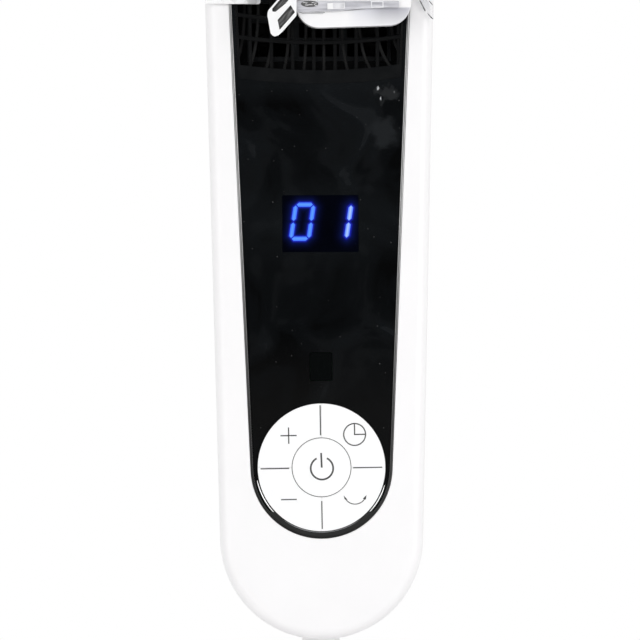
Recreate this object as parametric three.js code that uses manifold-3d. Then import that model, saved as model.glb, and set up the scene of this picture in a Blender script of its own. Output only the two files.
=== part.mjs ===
// A slim ceramic tower heater on a swivelling base.
// Millimetres, +Z up. The front faces -Y, and the origin is on the floor, on the swivel axis.
import * as THREE from "three";
import { mergeVertices } from "three/addons/utils/BufferGeometryUtils.js";
import Module from "manifold-3d";

const wasm = await Module();
wasm.setup();

// ---- driving dimensions -------------------------------------------------------------------

const GAP = 0.3; // between parts that touch
const FAR = 400; // longer than anything it cuts

// The column seen from the front is a tapered capsule: a small circle below, a large one above.
const COLUMN_BOTTOM = 58; // height of the column's lowest point above the floor
const BODY = { lowR: 53.5, lowZ: 53.5, highR: 62.5, highZ: 436 };
const FRONT_Y = -54;
const SPLIT_Y = -12; // where the two shells meet
const BACK_Y = 56;
const WALL = 2.5;
const FRONT_EDGE = { depth: 7, inset: 6 }; // the rounding round the front face
const BACK_EDGE = { depth: 30, inset: 14 };

// The black front inset is a steeper capsule inside it.
const INSET = { lowR: 37.3, lowZ: 90.6, highR: 52, highZ: 436 };
const TRIM_WIDTH = 1.4;
const FASCIA = { front: -53.4, back: -51 };

const OUTLET = { bottomZ: 292.5, side: 3, rim: 1.1, bottomRim: 7.2 };
const ARC_RADIUS = 290; // every cross bar of the outlet hangs in a shallow arc
const BARS = { first: -36.5, pitch: 11.15, count: 8, width: 1.9 };
const RINGS = { first: 314.3, pitch: 11.7, count: 15, height: 2.1 };
// The guard's ribs stand like the staves of a barrel and splay towards their ends.
const GUARD_RIBS = { middle: 2.3, radius: 61, turn: 0.15, left: 5, right: 4, width: 1.7 };
const GUARD_SPLAY = { left: 0.26, right: 0.6 };

const KEYPAD = { z: 90.8, outerR: 33.55, powerR: 15.35, ringR: 15.65, front: -54.6, back: -49.9 };
const DISPLAY = { z: 219, width: 40.2, height: 30, moduleHeight: 27.7 };
const RECEIVER = { z: 143.8, width: 12, height: 15 };

const INTAKE = { width: 76, bottomZ: 282, topZ: 430, corner: 8 };
const GRIP = { width: 60, bottomZ: 446, topZ: 468, depth: 26, corner: 8 };
const SHELL_SCREWS = [[-20, 480], [20, 480], [-34, 42], [34, 42]];

const FAN = { y: 14, radius: 25, bottomZ: 302, topZ: 438, blades: 12 };
const HOUSING = { bottomZ: 297, topZ: 443, wall: 2 };

const BASE_R = 95;
const BASE_SCREW = { radius: 80, angles: [30, 150, 270] };
const FOOT = { radius: 74, angles: [45, 135, 225, 315], height: 4 };
const PLATE = { bottom: 4, top: 7 };
const TIP_SWITCH = { x: -62, y: 8 };
const GLAND_Z = 14; // the mains cord enters here, at the back
const GEAR = { module: 1.5, wheelTeeth: 60, pinionTeeth: 12, backlash: 0.35, z0: 22.3, z1: 25.8 };
const GEAR_DISTANCE = (GEAR.module * (GEAR.wheelTeeth + GEAR.pinionTeeth)) / 2;

// The clip-on water cup in front of the outlet, in its own frame: x across, z up from its centre.
const CUP = { x: 17.7, z: 336, width: 60.2, below: 14.2, above: 14.6, corner: 12, tilt: 1.6 };
const CUP_DEPTH = { front: -71, back: -57 };
const CUP_PEGS = [[-15, 6.6], [19, 8.4]];

// ---- materials ----------------------------------------------------------------------------

const material = (color, roughness, metalness = 0, opacity = 1) =>
  new THREE.MeshStandardMaterial({ color, roughness, metalness, opacity, transparent: opacity < 1 });

const WHITE = material(0xf7f6f8, 0.35);
const KEY_WHITE = material(0xfafafa, 0.45);
const BLACK_GLOSS = material(0x08090b, 0.08);
const BLACK_SATIN = material(0x16171a, 0.45);
const TRIM = material(0x8a8c90, 0.2, 0.9);
const SMOKED = material(0x05060c, 0.05);
const CLEAR = material(0xe8ecf2, 0.05, 0, 0.4);
const CUP_WHITE = material(0xf4f4f6, 0.3);
const DARK_PLASTIC = material(0x2a2b2e, 0.6);
const HEATPROOF = material(0x1f1f21, 0.7);
const ALUMINIUM = material(0x4a4b4e, 0.5, 0.8);
const STEEL = material(0x9a9ca0, 0.3, 1);
const NYLON = material(0xe9e6da, 0.5);
const BOARD = material(0x1d5a34, 0.5);
const RUBBER = material(0x202022, 0.9);

// ---- solids -------------------------------------------------------------------------------

function solid(geometry) {
  const bare = geometry.index ? geometry.toNonIndexed() : geometry.clone();
  bare.deleteAttribute("normal");
  bare.deleteAttribute("uv");
  const merged = mergeVertices(bare, 1e-4);
  return new wasm.Manifold(
    new wasm.Mesh({
      numProp: 3,
      vertProperties: merged.attributes.position.array,
      triVerts: new Uint32Array(merged.index.array),
    }),
  );
}

const cut = (body, ...tools) => tools.reduce((rest, tool) => rest.subtract(tool), body);
const join = (...bodies) => bodies.reduce((all, body) => all.add(body));
const both = (a, b) => a.intersect(b);

function box([x0, x1], [y0, y1], [z0, z1]) {
  const geometry = new THREE.BoxGeometry(x1 - x0, y1 - y0, z1 - z0);
  return solid(geometry.translate((x0 + x1) / 2, (y0 + y1) / 2, (z0 + z1) / 2));
}

function rodZ(radius, z0, z1, x = 0, y = 0, sides = 24) {
  const geometry = new THREE.CylinderGeometry(radius, radius, z1 - z0, sides);
  return solid(geometry.rotateX(Math.PI / 2).translate(x, y, (z0 + z1) / 2));
}

function rodY(radius, y0, y1, x = 0, z = 0, sides = 24) {
  const geometry = new THREE.CylinderGeometry(radius, radius, y1 - y0, sides);
  return solid(geometry.translate(x, (y0 + y1) / 2, z));
}

// A profile of [radius, height] corners turned about the Z axis.
function turned(profile, sides = 36) {
  const points = [...profile, profile[0]].map(([r, z]) => new THREE.Vector2(r, z));
  const turnedBody = solid(new THREE.LatheGeometry(points, sides).rotateX(Math.PI / 2));
  return turnedBody.volume() < 0 ? solid(flipped(points, sides)) : turnedBody;
}

const flipped = (points, sides) =>
  new THREE.LatheGeometry([...points].reverse(), sides).rotateX(Math.PI / 2);

// As turned, but each corner is [x radius, y radius, height], so the section is an oval.
function ovalTurned(profile, sides) {
  const points = [...profile, profile[0]];
  const geometry = new THREE.LatheGeometry(points.map(([rx, , z]) => new THREE.Vector2(rx, z)), sides);
  geometry.rotateX(Math.PI / 2);
  const position = geometry.attributes.position;
  for (let i = 0; i < position.count; i++) {
    const [rx, ry] = points[i % points.length];
    position.setY(i, (position.getY(i) * ry) / rx);
  }
  return solid(geometry);
}

// A front-view outline (x across, z up) given thickness between two depths.
function slab(outline, y0, y1, curveSegments = 10) {
  const geometry = new THREE.ExtrudeGeometry(outline, {
    depth: y1 - y0,
    bevelEnabled: false,
    curveSegments,
  });
  return solid(geometry.rotateX(Math.PI / 2).translate(0, y1, 0));
}

// A plan-view outline (x, y) given height between two levels.
function prism(outline, z0, z1, curveSegments = 10) {
  const geometry = new THREE.ExtrudeGeometry(outline, {
    depth: z1 - z0,
    bevelEnabled: false,
    curveSegments,
  });
  return solid(geometry.translate(0, 0, z0));
}

// A slab whose edge is rounded at its front or at its back.
function pebble(outline, y0, y1, edge, { depth, inset }, steps) {
  const length = 2 * (y1 - y0);
  const geometry = new THREE.ExtrudeGeometry(outline, {
    depth: length,
    bevelEnabled: true,
    bevelThickness: depth,
    bevelSize: inset,
    bevelOffset: -inset,
    bevelSegments: steps,
    curveSegments: 9,
  }).rotateX(Math.PI / 2);
  geometry.translate(0, edge === "front" ? y0 + length + depth : y1 - depth, 0);
  return both(solid(geometry), box([-FAR, FAR], [y0, y1], [-FAR, 2 * FAR]));
}

// ---- outlines -----------------------------------------------------------------------------

// Two circles, one above the other, and the lines that touch both.
function capsule({ lowR, lowZ, highR, highZ }, inset = 0) {
  const lean = Math.asin((highR - lowR) / (highZ - lowZ));
  const shape = new THREE.Shape();
  shape.absarc(0, lowZ, lowR - inset, Math.PI + lean, 2 * Math.PI - lean, false);
  shape.absarc(0, highZ, highR - inset, -lean, Math.PI + lean, false);
  shape.closePath();
  return shape;
}

function rectangle(x0, x1, z0, z1, corner = 0) {
  const shape = new THREE.Shape();
  if (!corner) {
    return new THREE.Shape(
      [[x0, z0], [x1, z0], [x1, z1], [x0, z1]].map(([x, z]) => new THREE.Vector2(x, z)),
    );
  }
  shape.absarc(x1 - corner, z0 + corner, corner, -Math.PI / 2, 0, false);
  shape.absarc(x1 - corner, z1 - corner, corner, 0, Math.PI / 2, false);
  shape.absarc(x0 + corner, z1 - corner, corner, Math.PI / 2, Math.PI, false);
  shape.absarc(x0 + corner, z0 + corner, corner, Math.PI, 1.5 * Math.PI, false);
  shape.closePath();
  return shape;
}

const polygon = (points) => new THREE.Shape(points.map(([x, z]) => new THREE.Vector2(x, z)));

const sag = (x) => (x * x) / (2 * ARC_RADIUS);

// The band between two hanging arcs, or everything above one of them.
function arcBand(z0, z1, halfWidth = 56, steps = 4) {
  const xs = Array.from({ length: steps + 1 }, (_, i) => -halfWidth + (2 * halfWidth * i) / steps);
  const low = xs.map((x) => [x, z0 + sag(x)]);
  const high = xs.map((x) => [x, z1 + sag(x)]).reverse();
  return polygon([...low, ...high]);
}

const bodyOutline = (inset) => capsule(BODY, inset);
const insetOutline = (inset) => capsule(INSET, inset);

// The outlet: the inset's outline above a hanging arc.
function outletSlab(inset, raise, y0, y1) {
  const above = slab(arcBand(OUTLET.bottomZ + raise, OUTLET.bottomZ + 250, 60, 8), y0, y1);
  return both(slab(insetOutline(inset), y0, y1), above);
}

const polar = (radius, degrees) => [
  radius * Math.cos(THREE.MathUtils.degToRad(degrees)),
  radius * Math.sin(THREE.MathUtils.degToRad(degrees)),
];

// Involute teeth of a gear, as [x, y] corners; their middles are one pitch apart from firstAngle on.
function teeth(count, shown, firstAngle, addendum) {
  const pitchR = (GEAR.module * count) / 2;
  const baseR = pitchR * Math.cos(THREE.MathUtils.degToRad(20));
  const rootR = pitchR - 1.25 * GEAR.module;
  const tipR = pitchR + addendum * GEAR.module;
  const involute = (r) => {
    const roll = Math.sqrt(Math.max(0, (r / baseR) ** 2 - 1));
    return roll - Math.atan(roll);
  };
  const pitchHalf = Math.PI / (2 * count) - GEAR.backlash / (2 * pitchR);
  const half = (r) => pitchHalf + involute(pitchR) - involute(r);
  const flank = [rootR, Math.max(rootR, baseR), pitchR, tipR].filter((r, i, all) => r !== all[i - 1]);
  const corners = [];
  for (let i = 0; i < shown; i++) {
    const middle = firstAngle + (2 * Math.PI * i) / count;
    flank.forEach((r) => corners.push([r, middle - half(r)]));
    [...flank].reverse().forEach((r) => corners.push([r, middle + half(r)]));
  }
  return corners.map(([r, a]) => [r * Math.cos(a), r * Math.sin(a)]);
}

// ---- the group ----------------------------------------------------------------------------

const heater = new THREE.Group();
const column = new THREE.Group();
column.position.z = COLUMN_BOTTOM;
heater.add(column);
const cup = new THREE.Group();
cup.position.set(CUP.x, 0, CUP.z);
cup.rotation.y = -THREE.MathUtils.degToRad(CUP.tilt);
column.add(cup);

function put(group, name, body, finish) {
  const mesh = body.getMesh();
  const positions = new Float32Array(mesh.numVert * 3);
  for (let i = 0; i < mesh.numVert; i++) {
    positions.set(mesh.vertProperties.subarray(i * mesh.numProp, i * mesh.numProp + 3), i * 3);
  }
  const geometry = new THREE.BufferGeometry();
  geometry.setAttribute("position", new THREE.BufferAttribute(positions, 3));
  geometry.setIndex(new THREE.BufferAttribute(mesh.triVerts, 1));
  geometry.computeVertexNormals();
  const node = new THREE.Mesh(geometry, finish);
  node.name = name;
  group.add(node);
  return node;
}

// ---- base ---------------------------------------------------------------------------------

function makeBase() {
  const rise = [[BASE_R, 11], [93, 17], [87, 23.5], [77, 28.5], [66, 32], [50, 34.5]];
  const dome = [[0, 4], [BASE_R, 4], ...rise, [0, 36.5]];
  const hollow = [[0, 3], [92.6, 3], [92.6, 11], [85.6, 21.6], [65.4, 29.4], [0, 33.8]];
  const outer = turned(dome);
  const posts = BASE_SCREW.angles.map((angle) => {
    const [x, y] = polar(BASE_SCREW.radius, angle);
    const post = cut(rodZ(4.5, PLATE.top + GAP, 30, x, y, 16), rodZ(1.8, 0, 18, x, y, 12));
    return both(post, outer);
  });
  const shell = cut(outer, turned(hollow), rodZ(29.3, 0, 60, 0, 0, 32));
  put(heater, "base_cover", cut(join(shell, ...posts), rodY(5.3, 80, 110, 0, GLAND_Z)), WHITE);

  const plateHoles = BASE_SCREW.angles.map((angle) => rodZ(2, 0, 20, ...polar(BASE_SCREW.radius, angle), 12));
  const spigot = join(rodZ(31, PLATE.top - 1, 14), rodZ(10.5, 12, 40));
  const plate = join(rodZ(92.2, PLATE.bottom, PLATE.top, 0, 0, 36), spigot);
  const cableBore = rodZ(8, 0, 60, 0, 0, 16);
  const plungerHole = rodZ(3.4, 0, 20, TIP_SWITCH.x, TIP_SWITCH.y, 16);
  put(heater, "base_plate", cut(plate, ...plateHoles, cableBore, plungerHole), DARK_PLASTIC);

  BASE_SCREW.angles.forEach((angle, i) => {
    const screw = join(rodZ(3.6, 1.4, PLATE.bottom - GAP, 0, 0, 12), rodZ(1.5, 3, 16, 0, 0, 8));
    const node = put(heater, `base_screw_${i + 1}`, screw, STEEL);
    node.position.set(...polar(BASE_SCREW.radius, angle), 0);
  });
  FOOT.angles.forEach((angle, i) => {
    const foot = turned([[0, 0], [8.4, 0], [9, 0.8], [9, FOOT.height - GAP], [0, FOOT.height - GAP]], 12);
    const node = put(heater, `rubber_foot_${i + 1}`, foot, RUBBER);
    node.position.set(...polar(FOOT.radius, angle), 0);
  });

  put(heater, "bearing_ring", turned([[16, 14 + GAP], [29, 14 + GAP], [29, 18.2], [16, 18.2]], 32), NYLON);

  const gland = join(rodY(5, 84, 94.6, 0, GLAND_Z), rodY(6.6, 82, 84.5, 0, GLAND_Z));
  put(heater, "cord_gland", cut(gland, rodY(3.4, 86, 100, 0, GLAND_Z, 16)), RUBBER);
}

function makeTipSwitch() {
  const { x, y } = TIP_SWITCH;
  const legs = [-1, 1].map((side) => box([side * 8 - 2, side * 8 + 2], [-4, 4], [PLATE.top + GAP, 18]));
  const body = box([-10, 10], [-5, 5], [17, 24.5]);
  put(heater, "tip_switch", join(body, ...legs), DARK_PLASTIC).position.set(x, y, 0);
  const rod = rodZ(2.9, 0.2, 16.6, 0, 0, 16);
  put(heater, "tip_plunger", join(rod, rodZ(4.8, 11.3, 12.8, 0, 0, 16)), NYLON).position.set(x, y, 0);

  const turns = 2;
  const coil = new THREE.CatmullRomCurve3(
    Array.from({ length: 8 * turns + 1 }, (_, i) => {
      const angle = (i * Math.PI) / 4;
      return new THREE.Vector3(4 * Math.cos(angle), 4 * Math.sin(angle), 13.6 + (2.6 * i) / (8 * turns));
    }),
  );
  const wire = new THREE.Shape().absarc(0, 0, 0.35, 0, 2 * Math.PI, false);
  const spring = new THREE.ExtrudeGeometry(wire, { steps: 16 * turns, extrudePath: coil, curveSegments: 3 });
  put(heater, "plunger_spring", solid(spring), STEEL).position.set(x, y, 0);
}

function makeSwivel() {
  // Round inside the base, then a slim waist seen from the front that stays deep from front to back.
  const outside = [
    [11, 11, 18.5], [40, 40, 18.5], [40, 40, 22], [28.5, 28.5, 22], [28.5, 28.5, 37], [24, 28.5, 42],
    [14, 28.5, 51], [9.6, 28.5, 56], [9.3, 28.5, 66.5], [17, 33, 66.5], [17, 33, 70], [6, 6, 70],
  ];
  const bore = [[6, 6, 45], [11, 11, 41]];
  put(heater, "swivel_neck", ovalTurned([...outside, ...bore], 24), WHITE);

  const pitch = 360 / GEAR.wheelTeeth;
  const shown = 17;
  const first = -90 - (pitch * (shown - 1)) / 2;
  const outer = teeth(GEAR.wheelTeeth, shown, THREE.MathUtils.degToRad(first), 0.6);
  const inner = Array.from({ length: 9 }, (_, i) => polar(29.2, -90 + 50 - (100 * i) / 8));
  put(heater, "gear_sector", prism(polygon([...outer, ...inner]), GEAR.z0, GEAR.z1), NYLON);

  const gap = Math.PI / 2 + Math.PI / GEAR.pinionTeeth; // a tooth space faces the sector
  const outline = polygon(teeth(GEAR.pinionTeeth, GEAR.pinionTeeth, gap, 0.8));
  const pinion = cut(prism(outline, GEAR.z0 - GAP, GEAR.z1 + GAP), rodZ(2.2, 0, 60, 0, 0, 12));
  put(heater, "swing_pinion", pinion, NYLON).position.set(0, -GEAR_DISTANCE, 0);
  const shaft = join(rodZ(6, 17, 20, 0, 0, 16), rodZ(1.9, 19, 27, 0, 0, 12));
  const motor = join(rodZ(20.5, PLATE.top + GAP, 18, 0, 0, 24), shaft);
  put(heater, "swing_motor", motor, STEEL).position.set(0, -GEAR_DISTANCE, 0);
}

// ---- column shells ------------------------------------------------------------------------

function makeShells() {
  const neckHole = box([-10, 10], [-29.2, 29.2], [-20, 30]);
  const front = pebble(bodyOutline(0), FRONT_Y, SPLIT_Y, "front", FRONT_EDGE, 3);
  const innerEdge = { depth: 5, inset: 4.5 };
  const frontHollow = pebble(bodyOutline(WALL), FRONT_Y + WALL, SPLIT_Y + 1, "front", innerEdge, 2);
  const opening = slab(insetOutline(-GAP), FRONT_Y - 5, -50.5);
  const bosses = SHELL_SCREWS.map(([x, z]) => rodY(4.6, z > 200 ? -44 : FRONT_Y + 1, SPLIT_Y - 2, x, z, 12));
  const webs = [-20, 20].map((x) => box([x - 1.2, x + 1.2], [-44, SPLIT_Y - 2], [480, 494]));
  const bossHoles = SHELL_SCREWS.map(([x, z]) => rodY(1.9, -32, 0, x, z, 12));
  const ledge = cut(slab(insetOutline(-3), -52, -48.5), slab(insetOutline(0.9), -FAR, 0));
  const skin = cut(front, frontHollow, slab(insetOutline(-GAP), FRONT_Y - 5, FRONT_Y + 10));
  const frontShell = join(cut(join(skin, ledge), opening), ...bosses, ...webs);
  put(column, "front_shell", cut(frontShell, ...bossHoles, neckHole), WHITE);

  const start = SPLIT_Y + GAP;
  const rear = pebble(bodyOutline(0), start, BACK_Y, "back", BACK_EDGE, 4);
  const inner = { depth: BACK_EDGE.depth - WALL, inset: BACK_EDGE.inset - 1 };
  const rearHollow = pebble(bodyOutline(WALL), start - 1, BACK_Y - WALL, "back", inner, 2);
  const posts = SHELL_SCREWS.map(([x, z]) => both(rodY(5.5, start, BACK_Y - 1, x, z, 12), rear));
  const holes = SHELL_SCREWS.flatMap(([x, z]) => [
    rodY(1.9, start - 5, 50, x, z, 12),
    rodY(4, 46, 70, x, z, 16),
  ]);
  const intake = rectangle(-INTAKE.width / 2, INTAKE.width / 2, INTAKE.bottomZ, INTAKE.topZ, INTAKE.corner);
  const grip = rectangle(-GRIP.width / 2, GRIP.width / 2, GRIP.bottomZ, GRIP.topZ, GRIP.corner);
  const windows = [intake, grip].map((outline) => slab(outline, BACK_Y - 8, BACK_Y + 8, 3));
  const rearShell = join(cut(rear, rearHollow), ...posts);
  put(column, "rear_shell", cut(rearShell, ...holes, ...windows, neckHole), WHITE);

  SHELL_SCREWS.forEach(([x, z], i) => {
    const screw = join(rodY(3.4, 46 + GAP, 48.8, 0, 0, 12), rodY(1.5, -30, 47, 0, 0, 8));
    put(column, `shell_screw_${i + 1}`, screw, STEEL).position.set(x, 0, z);
  });
}

// The fingers' recess in the back, with a lip on the outside of the shell.
function makeGrip() {
  const half = GRIP.width / 2 - GAP;
  const tubOutline = rectangle(-half, half, GRIP.bottomZ + GAP, GRIP.topZ - GAP, GRIP.corner - GAP);
  const tub = slab(tubOutline, BACK_Y - GRIP.depth, BACK_Y + 1, 3);
  const lip = slab(
    rectangle(-half - 2.5, half + 2.5, GRIP.bottomZ - 2.2, GRIP.topZ + 2.2, 9),
    BACK_Y + GAP,
    BACK_Y + 1.5,
    3,
  );
  const hollowOutline = rectangle(-half + 2, half - 2, GRIP.bottomZ + 2.3, GRIP.topZ - 2.3, 5.5);
  const hollow = slab(hollowOutline, BACK_Y - GRIP.depth + 2, BACK_Y + 9, 3);
  put(column, "handle_recess", cut(join(tub, lip), hollow), DARK_PLASTIC);
}

// The intake cover lifts out of the back with the dust filter behind it.
function makeFilter() {
  const half = INTAKE.width / 2 - GAP;
  const outline = rectangle(-half, half, INTAKE.bottomZ + GAP, INTAKE.topZ - GAP, INTAKE.corner - GAP);
  const cover = slab(outline, BACK_Y - 2.8, BACK_Y + 0.4, 3);
  const slots = Array.from({ length: 17 }, (_, i) => {
    const z = INTAKE.bottomZ + 9 + i * 8;
    return box([-32, 32], [BACK_Y - 9, BACK_Y + 9], [z, z + 4]);
  });
  const tab = box([-9, 9], [BACK_Y, BACK_Y + 2.4], [INTAKE.topZ - 6, INTAKE.topZ - 3]);
  put(column, "filter_cover", join(cut(cover, ...slots), tab), WHITE);

  const frame = box([-35, 35], [BACK_Y - 5.2, BACK_Y - 3.1], [INTAKE.bottomZ + 4, INTAKE.topZ - 4]);
  const cells = [];
  for (let row = 0; row < 6; row++) {
    for (const x of [-32, -9.5, 13]) {
      const z = INTAKE.bottomZ + 7 + row * 22.6;
      cells.push(box([x, x + 19], [BACK_Y - 9, BACK_Y], [z, z + 19.6]));
    }
  }
  put(column, "dust_filter", cut(frame, ...cells), DARK_PLASTIC);
}

// ---- front --------------------------------------------------------------------------------

const centred = (width, height, z, corner = 0) =>
  rectangle(-width / 2, width / 2, z - height / 2, z + height / 2, corner);

function makeFascia() {
  const ring = slab(insetOutline(0), FRONT_Y - 0.2, FASCIA.back + 0.2);
  put(column, "fascia_trim", cut(ring, slab(insetOutline(TRIM_WIDTH), -FAR, 0)), TRIM);

  const { front, back } = FASCIA;
  const panel = slab(insetOutline(TRIM_WIDTH + GAP), front, back);
  const keyHole = rodY(KEYPAD.outerR + 0.35, -70, -40, 0, KEYPAD.z, 40);
  const displayHole = slab(centred(DISPLAY.width + 0.4, DISPLAY.height + 0.4, DISPLAY.z, 1), -70, -40, 2);
  const receiverHole = slab(centred(RECEIVER.width, RECEIVER.height, RECEIVER.z, 0.6), -70, -40, 2);
  const outletHole = outletSlab(OUTLET.side, 0, -70, -40);
  put(column, "fascia", cut(panel, outletHole, keyHole, displayHole, receiverHole), BLACK_GLOSS);

  const lens = centred(DISPLAY.width - 0.2, DISPLAY.height - 0.2, DISPLAY.z, 0.8);
  put(column, "display_lens", slab(lens, front, back, 2), SMOKED);
  const window = centred(RECEIVER.width - 0.6, RECEIVER.height - 0.6, RECEIVER.z, 0.4);
  put(column, "receiver_window", slab(window, front, back, 2), SMOKED);
}

function makeOutlet() {
  const y0 = -53.2;
  const y1 = -50.4;
  const outer = outletSlab(OUTLET.side + GAP, GAP, y0, y1);
  const hole = outletSlab(OUTLET.side + GAP + OUTLET.rim, OUTLET.bottomRim, -70, -40);
  const within = outletSlab(OUTLET.side + GAP + 0.5, GAP + 1, y0, y1);
  const bars = Array.from({ length: BARS.count }, (_, i) => {
    const x = BARS.first + i * BARS.pitch;
    const half = BARS.width / 2;
    return box([x - half, x + half], [y0, y1 - 0.6], [OUTLET.bottomZ + 5, OUTLET.bottomZ + 200]);
  });
  const rings = Array.from({ length: RINGS.count }, (_, i) => {
    const z = RINGS.first + i * RINGS.pitch;
    return slab(arcBand(z - RINGS.height / 2, z + RINGS.height / 2), y0, y1 - 0.6);
  });
  const grid = both(join(...bars, ...rings), within);
  put(column, "outlet_grille", join(cut(outer, hole), grid), BLACK_SATIN);
}

// Behind the outlet bars: ribs that run straight, then splay outwards towards both ends.
function makeGuard() {
  const y0 = -47.5;
  const y1 = -45;
  const outer = outletSlab(1.3, -2, y0, y1);
  const hole = outletSlab(4, 5.5, -70, -40);
  const within = outletSlab(2.5, 0, y0, y1);
  const lowZ = OUTLET.bottomZ + 2;
  const highZ = OUTLET.bottomZ + 192;
  const steps = 8;
  const { middle, radius, turn, left: leftCount, right: rightCount } = GUARD_RIBS;
  const ribs = Array.from({ length: leftCount + 1 + rightCount }, (_, i) => {
    const x = radius * Math.sin((i - leftCount) * turn);
    const splay = x > 0 ? GUARD_SPLAY.right : GUARD_SPLAY.left;
    const line = Array.from({ length: steps + 1 }, (_, step) => {
      const along = -1 + (2 * step) / steps; // -1 at the bottom, 1 at the top
      const even = Math.sign(along) * Math.abs(along) ** 0.5; // closer steps where the rib bends
      const bend = even ** 8;
      return [middle + x * (1 + splay * bend), lowZ + ((even + 1) / 2) * (highZ - lowZ)];
    });
    const left = line.map(([px, pz]) => [px - GUARD_RIBS.width / 2, pz]);
    const right = line.map(([px, pz]) => [px + GUARD_RIBS.width / 2, pz]).reverse();
    return slab(polygon([...right.reverse(), ...left.reverse()]), y0, y1 - 0.3);
  });
  put(column, "inner_guard", join(cut(outer, hole), both(join(...ribs), within)), BLACK_SATIN);
}

function ringQuarter(index) {
  const start = (index * Math.PI) / 2;
  const slit = GAP / 2;
  const shape = new THREE.Shape();
  const outerLean = Math.asin(slit / KEYPAD.outerR);
  const innerLean = Math.asin(slit / KEYPAD.ringR);
  shape.absarc(0, KEYPAD.z, KEYPAD.outerR, start + outerLean, start + Math.PI / 2 - outerLean, false);
  shape.absarc(0, KEYPAD.z, KEYPAD.ringR, start + Math.PI / 2 - innerLean, start + innerLean, true);
  shape.closePath();
  return shape;
}

function makeKeypad() {
  const { front, back, z, powerR } = KEYPAD;
  ["timer_key", "plus_key", "minus_key", "swing_key"].forEach((name, i) => {
    put(column, name, slab(ringQuarter(i), front, back, 5), KEY_WHITE);
  });
  put(column, "power_key", rodY(powerR, front, back, 0, z, 32), KEY_WHITE);

  const matFront = -47.6;
  const domes = [[0, 0], [17.5, 17.5], [-17.5, 17.5], [-17.5, -17.5], [17.5, -17.5]];
  const bumps = domes.map(([x, dz]) => rodY(4, -48.9, matFront + 0.5, x, z + dz, 12));
  put(column, "keypad_mat", join(rodY(33.3, matFront, -46.3, 0, z, 32), ...bumps), RUBBER);
  const tray = rodY(35.5, -50.5, -44.5, 0, z, 32);
  put(column, "keypad_tray", cut(tray, rodY(34.1, -60, -46, 0, z, 32)), DARK_PLASTIC);
}

// ---- electronics --------------------------------------------------------------------------

function makeElectronics() {
  const digits = slab(centred(DISPLAY.width, DISPLAY.moduleHeight, DISPLAY.z), -50.7, -44.4);
  put(column, "display_module", digits, SMOKED);
  const eye = join(box([-3.5, 3.5], [-48.5, -44.4], [141, 149]), rodY(2.6, -50.3, -48, 0, RECEIVER.z, 16));
  put(column, "infrared_receiver", eye, DARK_PLASTIC);
  put(column, "control_board", box([-31, 31], [-44.1, -42.5], [58, 240]), BOARD);

  const board = box([-34, 34], [-6, -4.4], [66, 180]);
  const relays = [-20, 4].map((x) => box([x, x + 18], [-4.6, 11], [84, 100]));
  const capacitor = rodY(9, -4.6, 15, -14, 130);
  const sink = box([6, 26], [-4.6, 17], [120, 160]);
  const terminals = box([-28, 28], [-4.6, 6], [166, 176]);
  put(column, "power_board", join(board, ...relays, capacitor, sink, terminals), BOARD);
}

// ---- heater and blower --------------------------------------------------------------------

function makeHeater() {
  const outer = box([-43, 43], [-40, -24], [300, 444]);
  const hole = box([-38.3, 38.3], [-50, -10], [304.7, 439.3]);
  const crossBars = [345, 395].map((z) => box([-40, 40], [-40, -38.5], [z - 1.5, z + 1.5]));
  put(column, "ptc_frame", join(cut(outer, hole), ...crossBars), HEATPROOF);
  const core = box([-38, 38], [-37.5, -26], [305, 439]);
  const slots = [];
  for (let i = 0; i < 13; i++) {
    const z = 307.5 + i * 10;
    for (const x of [-36, -10.6, 14.8]) slots.push(box([x, x + 21.2], [-50, -10], [z, z + 8]));
  }
  put(column, "ptc_core", cut(core, ...slots), ALUMINIUM);
  const cutout = join(rodY(8, -23.6, -19, 0, 288), box([-11, 11], [-23.6, -22.4], [284, 292]));
  put(column, "thermal_cutout", cutout, STEEL);
  const duct = box([-44, 44], [-23.5, -13], [298, 446]);
  put(column, "air_duct", cut(duct, box([-42, 42], [-30, 0], [300, 444])), HEATPROOF);
}

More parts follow.
